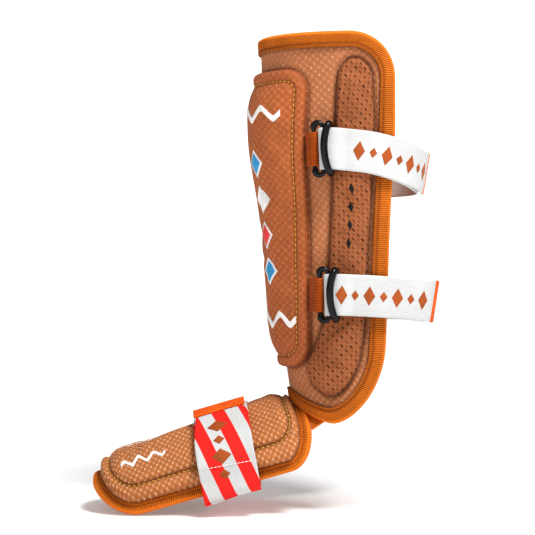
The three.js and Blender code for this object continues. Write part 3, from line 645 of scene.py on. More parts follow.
class Wiring:
    """Adds nodes to a node tree. An input takes a socket, which is linked, or a value, which is set."""

    def __init__(self, tree):
        self.tree = tree

    def fill(self, socket, value):
        if isinstance(value, bpy.types.NodeSocket):
            self.tree.links.new(value, socket)
        else:
            socket.default_value = value

    def add(self, kind, inputs=None, **settings):
        node = self.tree.nodes.new(kind)
        for name, value in settings.items():
            setattr(node, name, value)
        for name, value in (inputs or {}).items():
            self.fill(node.inputs[name], value)
        return node

    def calc(self, operation, first, second=0.0, third=0.0):
        inputs = {0: first, 1: second, 2: third}
        return self.add("ShaderNodeMath", inputs, operation=operation).outputs[0]

    def times(self, first, second):
        return self.calc("MULTIPLY", first, second)

    def scaled(self, value, factor, plus):
        return self.calc("MULTIPLY_ADD", value, factor, plus)

    def vector(self, operation, first, second=(0, 0, 0)):
        made = self.add("ShaderNodeVectorMath", {0: first, 1: second}, operation=operation)
        return made.outputs["Value" if operation == "LENGTH" else "Vector"]

    def split(self, vector):
        return self.add("ShaderNodeSeparateXYZ", {0: vector}).outputs

    def join(self, x, y, z):
        return self.add("ShaderNodeCombineXYZ", {0: x, 1: y, 2: z}).outputs[0]

    def turned(self, vector, angle):
        inputs = {"Vector": vector, "Angle": angle}
        return self.add("ShaderNodeVectorRotate", inputs, rotation_type="Z_AXIS").outputs[0]

    # Attribute by which finishes paint shade in creases and a highlight on tape rolls.
    def crease(self):
        return self.add("ShaderNodeAttribute", attribute_name=CREASE).outputs["Fac"]

    def ramp(self, value, low, high):
        inputs = {"Value": value, "From Min": low, "From Max": high}
        return self.add("ShaderNodeMapRange", inputs, interpolation_type="SMOOTHSTEP").outputs[0]

    def blend(self, share, first, second, way="MIX"):
        inputs = {0: share, 6: first, 7: second}
        return self.add("ShaderNodeMix", inputs, data_type="RGBA", blend_type=way).outputs[2]

    def noise(self, vector, scale, detail):
        inputs = {"Vector": vector, "Scale": scale, "Detail": detail}
        return self.add("ShaderNodeTexNoise", inputs).outputs[0]

    def clouds(self, vector, scale, detail):
        return self.ramp(self.noise(vector, scale, detail), 0.3, 0.7)

    def group(self, name, **inputs):
        node = self.tree.nodes.new("ShaderNodeGroup")
        node.node_tree = bpy.data.node_groups.get(name) or GROUPS[name]()
        for key, value in inputs.items():
            self.fill(node.inputs[key.replace("_", " ").capitalize()], value)
        return node.outputs


def new_group(name, inputs, outputs):
    """A shader node group with named sockets. Returns its wiring, its input sockets and its output node."""
    tree = bpy.data.node_groups.new(name, "ShaderNodeTree")
    for label, value in inputs.items():
        kind = "NodeSocketFloat" if isinstance(value, float) else "NodeSocketVector"
        socket = tree.interface.new_socket(label, in_out="INPUT", socket_type=kind)
        socket.default_value = value
    for label in outputs:
        tree.interface.new_socket(label, in_out="OUTPUT", socket_type="NodeSocketFloat")
    wiring = Wiring(tree)
    return wiring, wiring.add("NodeGroupInput").outputs, wiring.add("NodeGroupOutput").inputs


def dot_lattice_group():
    """Soft dots on a square lattice turned by an angle, slim and leaning: 1 in a dot, 0 between the dots."""
    inputs = {"Position": (0, 0, 0), "Pitch": 4.0, "Turn": 0.785, "Size": 0.2, "Slim": 1.0, "Lean": 0.0}
    wiring, given, made = new_group("Dot lattice", inputs, ["Mask"])
    turned = wiring.turned(given["Position"], given["Turn"])
    pitch = wiring.join(given["Pitch"], given["Pitch"], 1.0)
    cell = wiring.vector("FRACTION", wiring.vector("DIVIDE", turned, pitch))
    local = wiring.vector("SUBTRACT", cell, (0.5, 0.5, 0.0))
    upright = wiring.turned(local, wiring.calc("SUBTRACT", given["Lean"], given["Turn"]))
    slim = wiring.join(given["Slim"], 1.0, 0.0)
    away = wiring.vector("LENGTH", wiring.vector("MULTIPLY", upright, slim))
    inside = wiring.calc("SUBTRACT", given["Size"], away)
    wiring.fill(made["Mask"], wiring.ramp(inside, 0.0, wiring.times(given["Size"], 0.5)))
    return wiring.tree


def net_group():
    """Diamond net: minus half the sum of two cosines along the turned axes, from -1 at the lattice's points
    to 1 midway between four of them."""
    inputs = {"Position": (0, 0, 0), "Pitch": 4.0, "Turn": 0.785}
    wiring, given, made = new_group("Net", inputs, ["Level"])
    share = wiring.calc("DIVIDE", 2 * math.pi, given["Pitch"])
    axes = wiring.split(wiring.turned(given["Position"], given["Turn"]))
    waves = [wiring.calc("COSINE", wiring.times(axes[k], share)) for k in (0, 1)]
    wiring.fill(made["Level"], wiring.times(wiring.calc("ADD", *waves), -0.5))
    return wiring.tree


def knit_group():
    """Fine knit: the product of two sine waves with uneven yarn, from 0 in the gaps to 1 on the loops."""
    wiring, given, made = new_group("Knit", {"Position": (0, 0, 0), "Pitch": 1.1}, ["Height", "Tone"])
    share = wiring.calc("DIVIDE", 2 * math.pi, given["Pitch"])
    axes = wiring.split(given["Position"])
    waves = [wiring.calc("SINE", wiring.times(axes[k], share)) for k in (0, 1)]
    loops = wiring.scaled(wiring.times(*waves), 0.5, 0.5)
    uneven = wiring.noise(given["Position"], 0.75, 4.0)
    wiring.fill(made["Height"], wiring.scaled(uneven, 0.6, loops))
    wiring.fill(made["Tone"], wiring.ramp(uneven, 0.36, 0.64))
    return wiring.tree


def ribs_group():
    """Ribs across a tape: a rounded sine of the length along it, with uneven yarns across."""
    inputs = {"Position": (0, 0, 0), "Pitch": 1.45}
    wiring, given, made = new_group("Tape ribs", inputs, ["Height", "Groove", "Tone"])
    axes = wiring.split(given["Position"])
    turn = wiring.times(axes[0], wiring.calc("DIVIDE", 2 * math.pi, given["Pitch"]))
    rib = wiring.scaled(wiring.calc("COSINE", turn), 0.5, 0.5)
    yarns = wiring.calc("SINE", wiring.times(axes[1], 9.0))
    wiring.fill(made["Height"], wiring.scaled(yarns, 0.12, rib))
    # Groove: 1 between the ribs, where the tape finish paints shade.
    wiring.fill(made["Groove"], wiring.ramp(rib, 0.62, 0.14))
    wiring.fill(made["Tone"], wiring.clouds(given["Position"], 0.35, 3.0))
    return wiring.tree


def basket_group():
    """Plain webbing: two families of rounded threads that pass over each other by turns."""
    inputs = {"Position": (0, 0, 0), "Pitch": 1.6}
    wiring, given, made = new_group("Webbing", inputs, ["Height", "Gap"])
    pitch = wiring.join(given["Pitch"], given["Pitch"], 1.0)
    scaled = wiring.vector("DIVIDE", given["Position"], pitch)
    check = wiring.add("ShaderNodeTexChecker", {"Vector": scaled, "Scale": 1.0}).outputs["Fac"]
    waves = [wiring.calc("SINE", wiring.times(axis, math.pi)) for axis in wiring.split(scaled)[:2]]
    along, across = (wiring.calc("ABSOLUTE", wave) for wave in waves)
    under = wiring.times(across, wiring.calc("SUBTRACT", 1.0, check))
    height = wiring.scaled(along, check, under)
    wiring.fill(made["Height"], height)
    # Gap: 1 between the threads, where the webbing finish paints shade.
    wiring.fill(made["Gap"], wiring.ramp(height, 0.55, 0.1))
    return wiring.tree


def drift_group():
    """Slow cloudy change over a piece, from 0 to 1, for the uneven dye and the soiling of cloth."""
    wiring, given, made = new_group("Drift", {"Position": (0, 0, 0), "Scale": 20.0}, ["Share"])
    wiring.fill(made["Share"], wiring.clouds(given["Position"], given["Scale"], 4.0))
    return wiring.tree


GROUPS = {
    "Dot lattice": dot_lattice_group,
    "Net": net_group,
    "Knit": knit_group,
    "Tape ribs": ribs_group,
    "Webbing": basket_group,
    "Drift": drift_group,
}


def shade(tone, factor):
    """A colour made darker or lighter by a factor."""
    return (*(min(1.0, c * factor) for c in tone[:3]), 1.0)


def new_finish(name, specular=0.5, **constants):
    """A material with its wiring, its Principled shader, the cloth map and the object coordinates."""
    finish = bpy.data.materials.new("guard_" + name)
    finish["finish"] = name
    finish.use_nodes = True
    wiring = Wiring(finish.node_tree)
    shader = finish.node_tree.nodes["Principled BSDF"]
    shader.inputs["Specular IOR Level"].default_value = specular
    for key, value in constants.items():
        shader.inputs[key.replace("_", " ").title()].default_value = value
    cloth = wiring.add("ShaderNodeUVMap", uv_map=CLOTH_MAP).outputs[0]
    place = wiring.add("ShaderNodeTexCoord").outputs["Object"]
    return finish, wiring, shader.inputs, cloth, place


def dyed(wiring, place, scale, tone, low, high):
    """Slow drift over a piece, and a tone made darker or lighter by it."""
    drift = wiring.group("Drift", position=place, scale=scale)[0]
    return drift, wiring.blend(drift, shade(tone, low), shade(tone, high))


def dress(wiring, shader, tint, roughness, height, distance, strength=1.0):
    """Fills a shader's colour, roughness and normal, which gets the relief of a height over a distance."""
    inputs = {"Strength": strength, "Distance": distance, "Height": height}
    wiring.fill(shader["Base Color"], tint)
    wiring.fill(shader["Roughness"], roughness)
    wiring.fill(shader["Normal"], wiring.add("ShaderNodeBump", inputs).outputs[0])


def mesh_finish(name, tone, dot, look):
    """Knitted mesh cloth: a diamond net with painted shade in its hollows, fine knit, and a lattice of pale
    yarn dots lightened by painted glints, or of holes painted dark with shade where the look is sunk. Net and
    lattice share one pitch and turn, and the dots fade in and out over the cloth. Creases get painted shade."""
    finish, wiring, shader, cloth, place = new_finish(name, 0.15, sheen_weight=0.05, sheen_roughness=0.5)
    ground = dyed(wiring, place, 28.0, tone, 0.86, 1.08)[1]
    knit = wiring.group("Knit", position=cloth, pitch=in_mm("knit_pitch"))
    lattice = {"position": cloth, "pitch": in_mm(look.pitch), "turn": look.turn}
    net = wiring.group("Net", **lattice)[0]
    dots = wiring.group("Dot lattice", **lattice, size=look.size, slim=look.slim, lean=look.lean)[0]
    fade = wiring.scaled(wiring.clouds(cloth, 0.21, 3.0), 0.75, 0.3)
    ground = wiring.blend(wiring.times(knit["Tone"], 0.6), ground, shade(tone, 0.6))
    # Painted shade in the net's hollows.
    hollow = wiring.times(wiring.ramp(net, 0.1, -0.8), look.hollow)
    ground = wiring.blend(hollow, ground, shade(tone, 0.45))
    # Pale yarn dots with painted glints, or on the side pads holes filled with painted shade.
    ground = wiring.blend(wiring.times(wiring.times(dots, fade), look.share), ground, dot)
    # Painted shade in creases, by the crease attribute.
    tint = wiring.blend(wiring.times(wiring.crease(), 0.7), ground, shade(tone, 0.22))
    relief = wiring.scaled(net, 0.3, wiring.times(knit["Height"], 0.35))
    relief = wiring.scaled(dots, -1.6 if look.sunk else 0.6, relief)
    dress(wiring, shader, tint, wiring.scaled(dots, 0.1 if look.sunk else -0.3, 0.78), relief, 0.0006)
    return finish


def tape_finish(name, tone):
    """Ribbed edge tape: painted shade in the grooves between its ribs and in the fold by its inner edge, a
    painted highlight on its roll, uneven dye and a slight sheen.
    """
    finish, wiring, shader, cloth, place = new_finish(name, 0.15, sheen_weight=0.05, sheen_roughness=0.4)
    ribs = wiring.group("Tape ribs", position=cloth, pitch=in_mm("tape_pitch"))
    ground = dyed(wiring, place, 36.0, tone, 0.82, 1.1)[1]
    ground = wiring.blend(wiring.times(ribs["Tone"], 0.4), ground, shade(tone, 0.66))
    crease = wiring.crease()
    fold, roll = wiring.ramp(crease, 0.0, 1.0), wiring.ramp(crease, 0.0, -1.0)
    # Painted shade in the grooves between the ribs, weaker on the roll.
    groove = wiring.times(ribs["Groove"], wiring.scaled(roll, -0.45, 0.95))
    ground = wiring.blend(groove, ground, shade(tone, 0.22))
    # Painted highlight on the roll over the rim.
    ground = wiring.blend(wiring.times(roll, 0.4), ground, shade(tone, 1.35))
    # Painted shade in the fold beside the inner edge.
    tint = wiring.blend(wiring.times(fold, 0.5), ground, shade(tone, 0.25))
    dress(wiring, shader, tint, wiring.scaled(ribs["Groove"], 0.25, 0.6), ribs["Height"], 0.0002, 0.6)
    return finish


def webbing_finish(name, tone):
    """Plain woven webbing with painted shade in the gaps between its threads."""
    finish, wiring, shader, cloth, place = new_finish(name, 0.15, sheen_weight=0.05, sheen_roughness=0.4)
    weave = wiring.group("Webbing", position=cloth, pitch=2.2)
    ground = dyed(wiring, place, 60.0, tone, 0.8, 1.1)[1]
    # Painted shade in the gaps between the threads.
    tint = wiring.blend(wiring.times(weave["Gap"], 0.8), ground, shade(tone, 0.3))
    dress(wiring, shader, tint, wiring.scaled(weave["Gap"], 0.2, 0.65), weave["Height"], 0.0004, 0.8)
    return finish


def elastic_finish(name, tone, stripe=None):
    """Woven elastic: fine cords along its length, crossed by closer picks, with painted shade in the hollows
    of the weave and slanting stripes if given.
    """
    finish, wiring, shader, cloth, place = new_finish(name, 0.2, sheen_weight=0.05, sheen_roughness=0.35)
    axes = wiring.split(cloth)
    cords = wiring.calc("SINE", wiring.times(axes[1], 2 * math.pi / ELASTIC.cords))
    picks = wiring.calc("SINE", wiring.times(axes[0], 2 * math.pi / ELASTIC.picks))
    weave = wiring.scaled(cords, 0.5, wiring.times(picks, 0.3))
    drift, ground = dyed(wiring, place, 30.0, tone, 0.93, 1.02)
    if stripe:
        slant = wiring.scaled(axes[0], ELASTIC.slant, axes[1])
        share = wiring.calc("FRACT", wiring.calc("DIVIDE", slant, in_mm("stripe_step")))
        away = wiring.calc("ABSOLUTE", wiring.calc("SUBTRACT", share, 0.5))
        ground = wiring.blend(wiring.ramp(away, 0.26, 0.24), ground, stripe)
    # Painted shade in the hollows of the weave.
    hollow = wiring.times(wiring.ramp(weave, 0.0, -0.7), 0.16)
    tint = wiring.blend(hollow, ground, (0.35, 0.35, 0.36, 1.0), "MULTIPLY")
    dress(wiring, shader, tint, wiring.scaled(drift, 0.15, 0.6), weave, 0.0002, 0.5)
    return finish


def moulded_finish(name, tone, roughness):
    """Moulded rubber or plastic: fine grain, with dull and shiny patches."""
    finish, wiring, shader, _, place = new_finish(name, 0.3)
    drift, tint = dyed(wiring, place, 90.0, tone, 0.75, 1.4)
    grain = wiring.noise(place, 1800.0, 2.0)
    dress(wiring, shader, tint, wiring.scaled(drift, 0.16, roughness), grain, 0.0001, 0.3)
    return finish


def thread_finish(name, tone):
    """Twisted sewing thread or raised trim: fine strands with uneven dye."""
    finish, wiring, shader, _, place = new_finish(name, 0.25, sheen_weight=0.1, sheen_roughness=0.4)
    tint = dyed(wiring, place, 120.0, tone, 0.82, 1.06)[1]
    strands = wiring.noise(place, 2400.0, 3.0)
    dress(wiring, shader, tint, wiring.scaled(strands, 0.3, 0.45), strands, 0.0002, 0.5)
    return finish


FINISHES = {}


def finishes():
    """Each finish of the leg guard by its name, made once from the scene's colours and sizes."""
    if not FINISHES:
        tones = bpy.context.scene.leg_guard_colours
        yarn, hole = tuple(tones.yarn), tuple(tones.hole)
        made = [
            mesh_finish("shin_mesh", tones.mesh, yarn, SHIN_MESH),
            mesh_finish("plate_mesh", tones.plate, yarn, PLATE_MESH),
            mesh_finish("rib_mesh", tones.rib, hole, RIB_MESH),
            mesh_finish("foot_mesh", tones.foot, yarn, FOOT_MESH),
            tape_finish("edge_tape", tones.tape),
            webbing_finish("webbing", tones.webbing),
            elastic_finish("white_elastic", tones.elastic),
            elastic_finish("striped_elastic", tones.elastic, tuple(tones.stripe)),
            webbing_finish("orange_tip", tones.tip),
            moulded_finish("loop_plastic", tones.rubber, 0.18),
            moulded_finish("keeper_rubber", tones.rubber, 0.2),
        ]
        threads = ("thread", "tape_thread", "pale_thread")
        trims = ("white_trim", "blue_trim", "red_trim", "brown_trim", "dark_trim")
        made += [thread_finish(name, getattr(tones, name)) for name in threads + trims]
        FINISHES.update({finish["finish"]: finish for finish in made})
    return FINISHES


# Shin pieces


def tape_section(tape, panel):
    """Closed section of a tape folded over an edge, as inset, lift and share of rib height.

    A raised bead and a sewn groove run beside the flap's edge. A half ellipse rolls over the panel's edge.
    """
    outer, wide, roll = TAPE_GAP + tape.thickness, tape.width, TAPE_ROLL
    flap = [
        (wide, TAPE_GAP + 0.2, 0), (wide - 0.2, outer + 0.05, 0.2), (wide - 1.1, outer + 0.4, 0.5),
        (wide - 2.0, outer + 0.1, 0.4), (wide - TAPE_GROOVE, outer - 0.4, 0.1), (wide - 3.4, outer, 0.8),
        (wide - 5.0, outer + 0.1, 1), (wide / 2, outer + 0.15, 1), (roll + 1.2, outer + 0.1, 1),
        (roll, outer, 1),
    ]
    turn = np.linspace(np.pi / 2, -np.pi / 2, 11)[1:-1]
    middle, half = -panel / 2, panel / 2 + outer
    over = np.stack([roll - roll * np.cos(turn), middle + half * np.sin(turn), np.full(len(turn), 0.8)], 1)
    edge, low, lowest = tape.thickness + GAP, -panel - TAPE_GAP, -panel - outer
    inside = [
        (roll, lowest, 1), (wide / 2, lowest, 1), (wide - 1, lowest, 0.6), (wide, low - 0.2, 0),
        (wide - 1, low, 0), (edge, low, 0), (edge, TAPE_GAP, 0), (wide - 1, TAPE_GAP, 0),
    ]
    return np.concatenate([np.array(flap, float), over, np.array(inside, float)])


def even_turns(place, inset, lift, pitch):
    """Turns round a rim at equal distances, with TAPE_STEPS of them for each pitch."""
    turn = np.linspace(0, 4, 4001)
    along = lengths_along(place(turn, inset + 0 * turn, lift + 0 * turn))
    count = int(round(along[-1] / pitch)) * TAPE_STEPS
    return np.interp(np.arange(count) / count * along[-1], along, turn)


def edge_tape(name, place, tape, panel, node):
    """A ribbed tape folded over a rim. place gives a point for a turn, an inset and a lift.

    The section moves out and in along its own normals by a cosine of the length along the rim.
    """
    section = tape_section(tape, panel)
    turn = even_turns(place, tape.width / 3, 2.0, in_mm("tape_pitch"))
    ribs = np.arange(len(turn) + 1) / TAPE_STEPS
    before, after = np.roll(section[:, :2], 1, 0), np.roll(section[:, :2], -1, 0)
    ahead = unit(after - before)
    out = np.stack([ahead[:, 1], -ahead[:, 0]], 1)
    wave = np.cos(ribs[:-1] * 2 * np.pi) * in_mm("tape_rib") / 2
    rib = wave[:, None] * section[:, 2]
    inset, lift = section[:, 0] + rib * out[:, 0], section[:, 1] + rib * out[:, 1]
    places = place(turn[:, None] + 0 * inset, inset, lift)
    quads, marks = cells(*places.shape[:2], True, True)
    v = lengths_along(np.concatenate([section, section[:1]])[:, :2])
    uv = np.stack(np.meshgrid(ribs * in_mm("tape_pitch"), v, indexing="ij"), -1).reshape(-1, 2)
    # Painted shade in the fold beside the flap's inner edge.
    fold = tape.fold * bell(section[:, 0] - tape.width + TAPE_FOLD.at, TAPE_FOLD.reach)
    flap = np.where(section[:, 1] > 0, fold, 0)
    # Painted highlight on the roll over the rim.
    roll_highlight = smoothstep(TAPE_ROLL_HIGHLIGHT.start - section[:, 0], 0, TAPE_ROLL_HIGHLIGHT.reach)
    crease = np.broadcast_to(flap - roll_highlight, places.shape[:2])
    return piece(name, places.reshape(-1, 3), quads, "edge_tape", uv, marks, node=node, crease=crease)


def shin_rim(turn, inset, lift):
    """Point at a turn round the shell's rim."""
    return shell_point(*shell_rim(turn), inset, lift)


def shell_outline(inset):
    """Flat outline of the shell drawn in by inset."""
    return leg_flat(*shell_flat(*shell_rim(np.linspace(0, 4, 800, endpoint=False)), inset))


def shell_pad():
    """Foam shell: the leg surface between its lower and upper rim, and the same surface one thickness inside.
    It is pressed in under each side pad, with a bell-shaped slope round the pad."""
    inset = SHIN_TAPE.thickness + GAP + TAPE_GAP
    share, height = spread(SHELL_GRID[0])[:, None], np.linspace(0, 1, SHELL_GRID[1])[None]
    angle, z = shell_flat(share, height, inset)
    flat = leg_flat(angle, z)
    near, far = (edge_distance(flat, rib_outline(side)[0]) for side in (1, -1))
    away = np.where(angle > 0, near, far)
    front, back = rib_edges(np.clip(z, RIB_BOTTOM, RIB_TOP))
    under = (np.abs(angle) > front) & (np.abs(angle) < back) & (z > RIB_BOTTOM) & (z < RIB_TOP)
    groove = np.where(under, 1, bell(away, RIB_GROOVE.reach))
    outer = leg_point(angle, z, -RIB_GROOVE.depth * groove)
    inner = leg_point(angle, z, 0 * z - SHELL.thickness)
    to_tape = edge_distance(flat, shell_outline(SHIN_TAPE.width))
    to_plate = edge_distance(flat, plate_outline()[0])
    # Painted shade in the groove round the side pads, beside the front panel and beside the tape.
    crease = np.maximum(groove**2, bell(to_plate, SHELL_CREASE.plate))
    crease = np.maximum(crease, SHELL_CREASE.tape_share * bell(to_tape, SHELL_CREASE.tape))
    made = piece(
        "shell_pad", *slab(outer, inner), "shin_mesh", two_sided(flat), node="shin_shell", crease=crease
    )
    return made


def closed_outline(flat, spacing=1.0):
    """A closed flat outline with its points at equal distances, and its outward directions."""
    ring = np.concatenate([flat, flat[:1]])
    total = lengths_along(ring)[-1]
    even = at_lengths(ring, ring, np.arange(int(total / spacing)) / int(total / spacing) * total)
    ahead = sum(np.roll(even, -k, 0) - np.roll(even, k, 0) for k in (1, 2, 3))
    out = unit(np.stack([ahead[:, 1], -ahead[:, 0]], 1))
    area = (even[:, 0] * np.roll(even[:, 1], -1) - np.roll(even[:, 0], -1) * even[:, 1]).sum()
    return even, out * np.sign(area)


def plate_span(z):
    """Half angle of the front panel: a straight taper, drawn in at both ends by quarter-circle corners."""
    span = lerp(PLATE.half_span_bottom, PLATE.half_span_top, (z - PLATE.bottom) / (PLATE.top - PLATE.bottom))
    to_end = np.minimum(z - PLATE.bottom, PLATE.top - z)
    return span - PLATE.corner * (1 - quarter(to_end / PLATE.corner)) / leg_rate(span, z)


def plate_grid(columns, rows):
    """Angles and heights of a grid over the front panel, and their flat places."""
    z = (PLATE.top + PLATE.bottom) / 2 + (PLATE.top - PLATE.bottom) / 2 * spread(rows)[None]
    angle = plate_span(z) * spread(columns)[:, None]
    z = z + 0 * angle
    return angle, z, leg_flat(angle, z)


def plate_outline():
    """Flat outline of the front panel."""
    z = (PLATE.top + PLATE.bottom) / 2 + (PLATE.top - PLATE.bottom) / 2 * spread(RIM_STEPS)
    right = leg_flat(plate_span(z), z)
    return closed_outline(np.concatenate([right, right[::-1] * [-1, 1]]))


COVERS = {}


def padded_lift(away, pad):
    """Lift of a padded panel at a distance from its edge: a quarter-circle shoulder. Where the panel has a
    seam, it rises inside the seam by a smooth step, and a bell-shaped sewn channel runs along it."""
    if pad.seam is None:
        return pad.seat + lerp(pad.edge, pad.height, quarter(away / pad.shoulder))
    border = pad.seat + lerp(pad.edge, pad.border, quarter(away / pad.border_shoulder))
    rise = smoothstep(away, pad.seam - pad.before_seam, pad.seam + pad.shoulder)
    channel = in_mm("seam_depth") * bell(away - pad.seam, pad.channel)
    return border + (pad.height - pad.border) * rise - channel


def padded_cover(name, grid, outline, place, pad, finish, node, coarse, fine):
    """A padded panel: a closed cover over a grid, blown up by cloth simulation between its seams.

    grid(columns, rows) gives two coordinates and flat places, and place(a, b, lift) points. Up to the pad's
    held distance from the edge the cover is sewn down. The moves of the coarse grid grow by a smooth step
    from there on, and are kept in COVERS.
    """
    a, b, flat = grid(*coarse)
    away = edge_distance(flat, outline)
    places, quads = slab(place(a, b, padded_lift(away, pad)), place(a, b, 0 * away + pad.seat))
    fixed = np.concatenate([(away < pad.held).ravel(), np.ones(away.size, bool)])
    move = swell(places, quads, fixed, in_mm("cover_swell"))[: away.size].reshape(*away.shape, 3)
    COVERS[name] = move = move * smoothstep(away, pad.held, pad.held + COVER_EASE)[..., None]
    a, b, flat = grid(*fine)
    away = edge_distance(flat, outline)
    i, j = np.linspace(0, 1, fine[0])[:, None], np.linspace(0, 1, fine[1])[None]
    outer = place(a, b, padded_lift(away, pad)) + read_grid(move, i, j)
    places, quads = slab(outer, place(a, b, 0 * away + pad.seat))
    # Painted shade at the cover's sewn edge and in its seam channel.
    crease = COVER_CREASE.edge * bell(away, COVER_CREASE.reach)
    if pad.seam is not None:
        crease = np.maximum(crease, COVER_CREASE.seam * bell(away - pad.seam, COVER_CREASE.reach))
    made = piece(name, places, quads, finish, two_sided(flat), node=node, crease=crease)
    return made


def front_panel():
    """Raised front panel with a sewn channel inside its rounded border."""
    return padded_cover(
        "front_panel", plate_grid, plate_outline()[0], leg_point, PLATE, "plate_mesh", "shin_plate",
        *PLATE_GRIDS,
    )


def rib_edges(z):
    """Angles of the front and back edge of a side pad, read between its rows, smoothed by a bell and drawn
    together at both ends along a quarter of an ellipse."""
    rows = np.array(RIB_ROWS[::-1], float)
    reach = np.linspace(-2, 2, 33) * RIB_SMOOTH
    weight = bell(reach, RIB_SMOOTH)
    near = np.clip(z[..., None] + reach, RIB_BOTTOM, RIB_TOP)
    sides = [(np.interp(near, rows[:, 0], rows[:, k]) * weight).sum(-1) / weight.sum() for k in (1, 2)]
    middle = np.radians(sides[0] + sides[1]) / 2
    half = np.radians(sides[1] - sides[0]) / 2
    ends = quarter((RIB_TOP - z) / RIB_END.top) * quarter((z - RIB_BOTTOM) / RIB_END.bottom)
    half = half * lerp(RIB_END.least, 1, ends)
    return middle - half, middle + half


def rib_grid(side):
    """Grid function of the side pad on one side of the leg."""

    def grid(columns, rows):
        z = lerp(RIB_BOTTOM, RIB_TOP, (spread(rows) + 1) / 2)[None]
        front, back = rib_edges(z)
        angle = side * lerp(front, back, (spread(columns)[:, None] + 1) / 2)
        z = z + 0 * angle
        return angle, z, leg_flat(angle, z)

    return grid


def rib_outline(side):
    """Flat outline of a side pad."""
    z = lerp(RIB_BOTTOM, RIB_TOP, (spread(RIM_STEPS) + 1) / 2)
    front, back = (leg_flat(side * edge, z) for edge in rib_edges(z))
    return closed_outline(np.concatenate([front, back[::-1]]))


def side_pad(name, side):
    """Long raised side pad covered in perforated mesh."""
    return padded_cover(
        name, rib_grid(side), rib_outline(side)[0], leg_point, RIB, "rib_mesh",
        "rib_pad_near" if side > 0 else "rib_pad_far", *RIB_GRIDS,
    )


# Shin straps and their fittings


def strap_point(row, degrees, lift, rise=0.0):
    """Point of a strap's middle line: the leg surface in front of the axis, and behind it a squarish oval,
    |x/a|^p + |y/b|^p = 1. The line falls towards the back, half evenly and half by a smooth step, and stays
    low on the far side. Behind the axis the strap leans back by its flare."""
    angle = np.radians(degrees)
    fall = np.clip((degrees - STRAP.slope_start) / (STRAP.slope_end - STRAP.slope_start), 0, 1)
    z = row.z - row.drop * lerp(fall, smoothstep(fall, 0, 1), 0.5) + rise
    power = 2 / STRAP.back_power
    x = (row.back + lift + STRAP.flare * rise) * np.abs(np.cos(angle)) ** power
    y = -np.sign(np.sin(angle)) * (leg_radii(z)[1] + lift) * np.abs(np.sin(angle)) ** power
    return np.where((np.cos(angle) >= 0)[..., None], leg_point(angle, z, lift), point(x, y, z))


def strap_up(row, degrees):
    """Direction up the leg surface at a place on a strap's middle line."""
    return unit(strap_point(row, degrees, 0 * degrees, 1.0) - strap_point(row, degrees, 0 * degrees))


def loop_frame(row):
    """The bar that a strap folds round, with the directions towards the back, off the leg and up."""
    degrees = np.array(row.loop_angle, float)
    angle = np.radians(degrees)
    normal, up = leg_normal(angle, np.array(row.z, float)), strap_up(row, degrees)
    along = unit(np.cross(up, normal))
    bar = leg_point(angle, np.array(row.z, float), row.keeper_lift + LOOP.over)
    return bar, along, np.cross(along, up), up


def strap_path(row):
    """Middle line of a strap with its up directions: inner layer from the far side, half circle round the
    loop's bar, free layer to the tip."""
    fold = LOOP.bar / 2 + GAP + STRAP.thickness / 2
    layer, bar_lift = STRAP.thickness + GAP, row.keeper_lift + LOOP.over
    fold_end = row.loop_angle + STRAP.fold_turn

    def near_lift(degrees, at_bar, at_keeper, flat):
        low = lerp(at_bar, at_keeper, smoothstep(degrees, row.loop_angle, row.keeper_angle))
        high = lerp(at_keeper, flat, smoothstep(degrees, row.keeper_angle, row.flat_angle))
        return np.where(degrees < row.keeper_angle, low, high)

    inner = np.linspace(360 - row.far_start, fold_end, 200)
    far = lerp(STRAP.far_lift, STRAP.lift, smoothstep(360 - inner, row.far_start, row.far_flat))
    inner_lift = np.where(inner > 180, far, near_lift(inner, bar_lift - fold, row.keeper_lift, STRAP.lift))
    bar, along, off, up = loop_frame(row)
    turn = np.pi * (np.linspace(0, 1, 18) - 0.5)[:, None]
    bend = bar - fold * np.cos(turn) * along + fold * np.sin(turn) * off
    free = np.linspace(fold_end, row.tip_angle, 110)
    away = row.tip_lift * smoothstep(free, STRAP.tip_start, row.tip_angle)
    free_lift = near_lift(free, bar_lift + fold, row.keeper_lift + layer, STRAP.lift + layer) + away
    middle = [strap_point(row, inner, inner_lift), bend, strap_point(row, free, free_lift)]
    ups = [strap_up(row, inner), np.repeat(up[None], len(bend), 0), strap_up(row, free)]
    return np.concatenate(middle), np.concatenate(ups)


def ribbon(name, made, finish, node):
    """The piece of a ribbon made by band."""
    places, quads, uv = made
    return piece(name, places, quads, finish, uv, node=node)


def ends_of(middle, along, normal, cross, length):
    """Frames of a short straight piece that carries on from the end of a ribbon."""
    reach = np.linspace(GAP, GAP + length, 9)[:, None]
    return [middle[-1] + reach * along[-1], *(np.repeat(v[-1:], 9, 0) for v in (normal, cross))]


def shin_strap_frames(row):
    """Middle line of a shin strap with its directions along, off the leg and across."""
    middle, up = strap_path(row)
    return middle, *frames_along(middle, up)


def shin_strap(row):
    """White elastic strap through its loop, with its sewn end."""
    middle, along, normal, cross = shin_strap_frames(row)
    strap = band(middle, normal, cross, STRAP.width, STRAP.thickness, 17)
    ribbon("elastic_" + row.name, strap, "white_elastic", "strap_" + row.name)
    tip = ends_of(middle, along, normal, cross, STRAP_TIP.length)
    tip = band(*tip, STRAP_TIP.width, STRAP_TIP.thickness, 25)
    ribbon("elastic_end_" + row.name, tip, "orange_tip", "strap_tip_" + row.name)


def rounded_outline(wide, tall, corner):
    """Flat rounded rectangle as points at equal distances, with its outward directions."""
    turn = np.linspace(0, np.pi / 2, 13)
    quadrants = np.array([0, np.pi / 2, np.pi, 3 * np.pi / 2])[:, None]
    sx, sy = np.array([1, -1, -1, 1])[:, None], np.array([1, 1, -1, -1])[:, None]
    x = sx * (wide / 2 - corner) + corner * np.cos(turn + quadrants)
    y = sy * (tall / 2 - corner) + corner * np.sin(turn + quadrants)
    return closed_outline(np.stack([x, y], -1).reshape(-1, 2), 0.6)


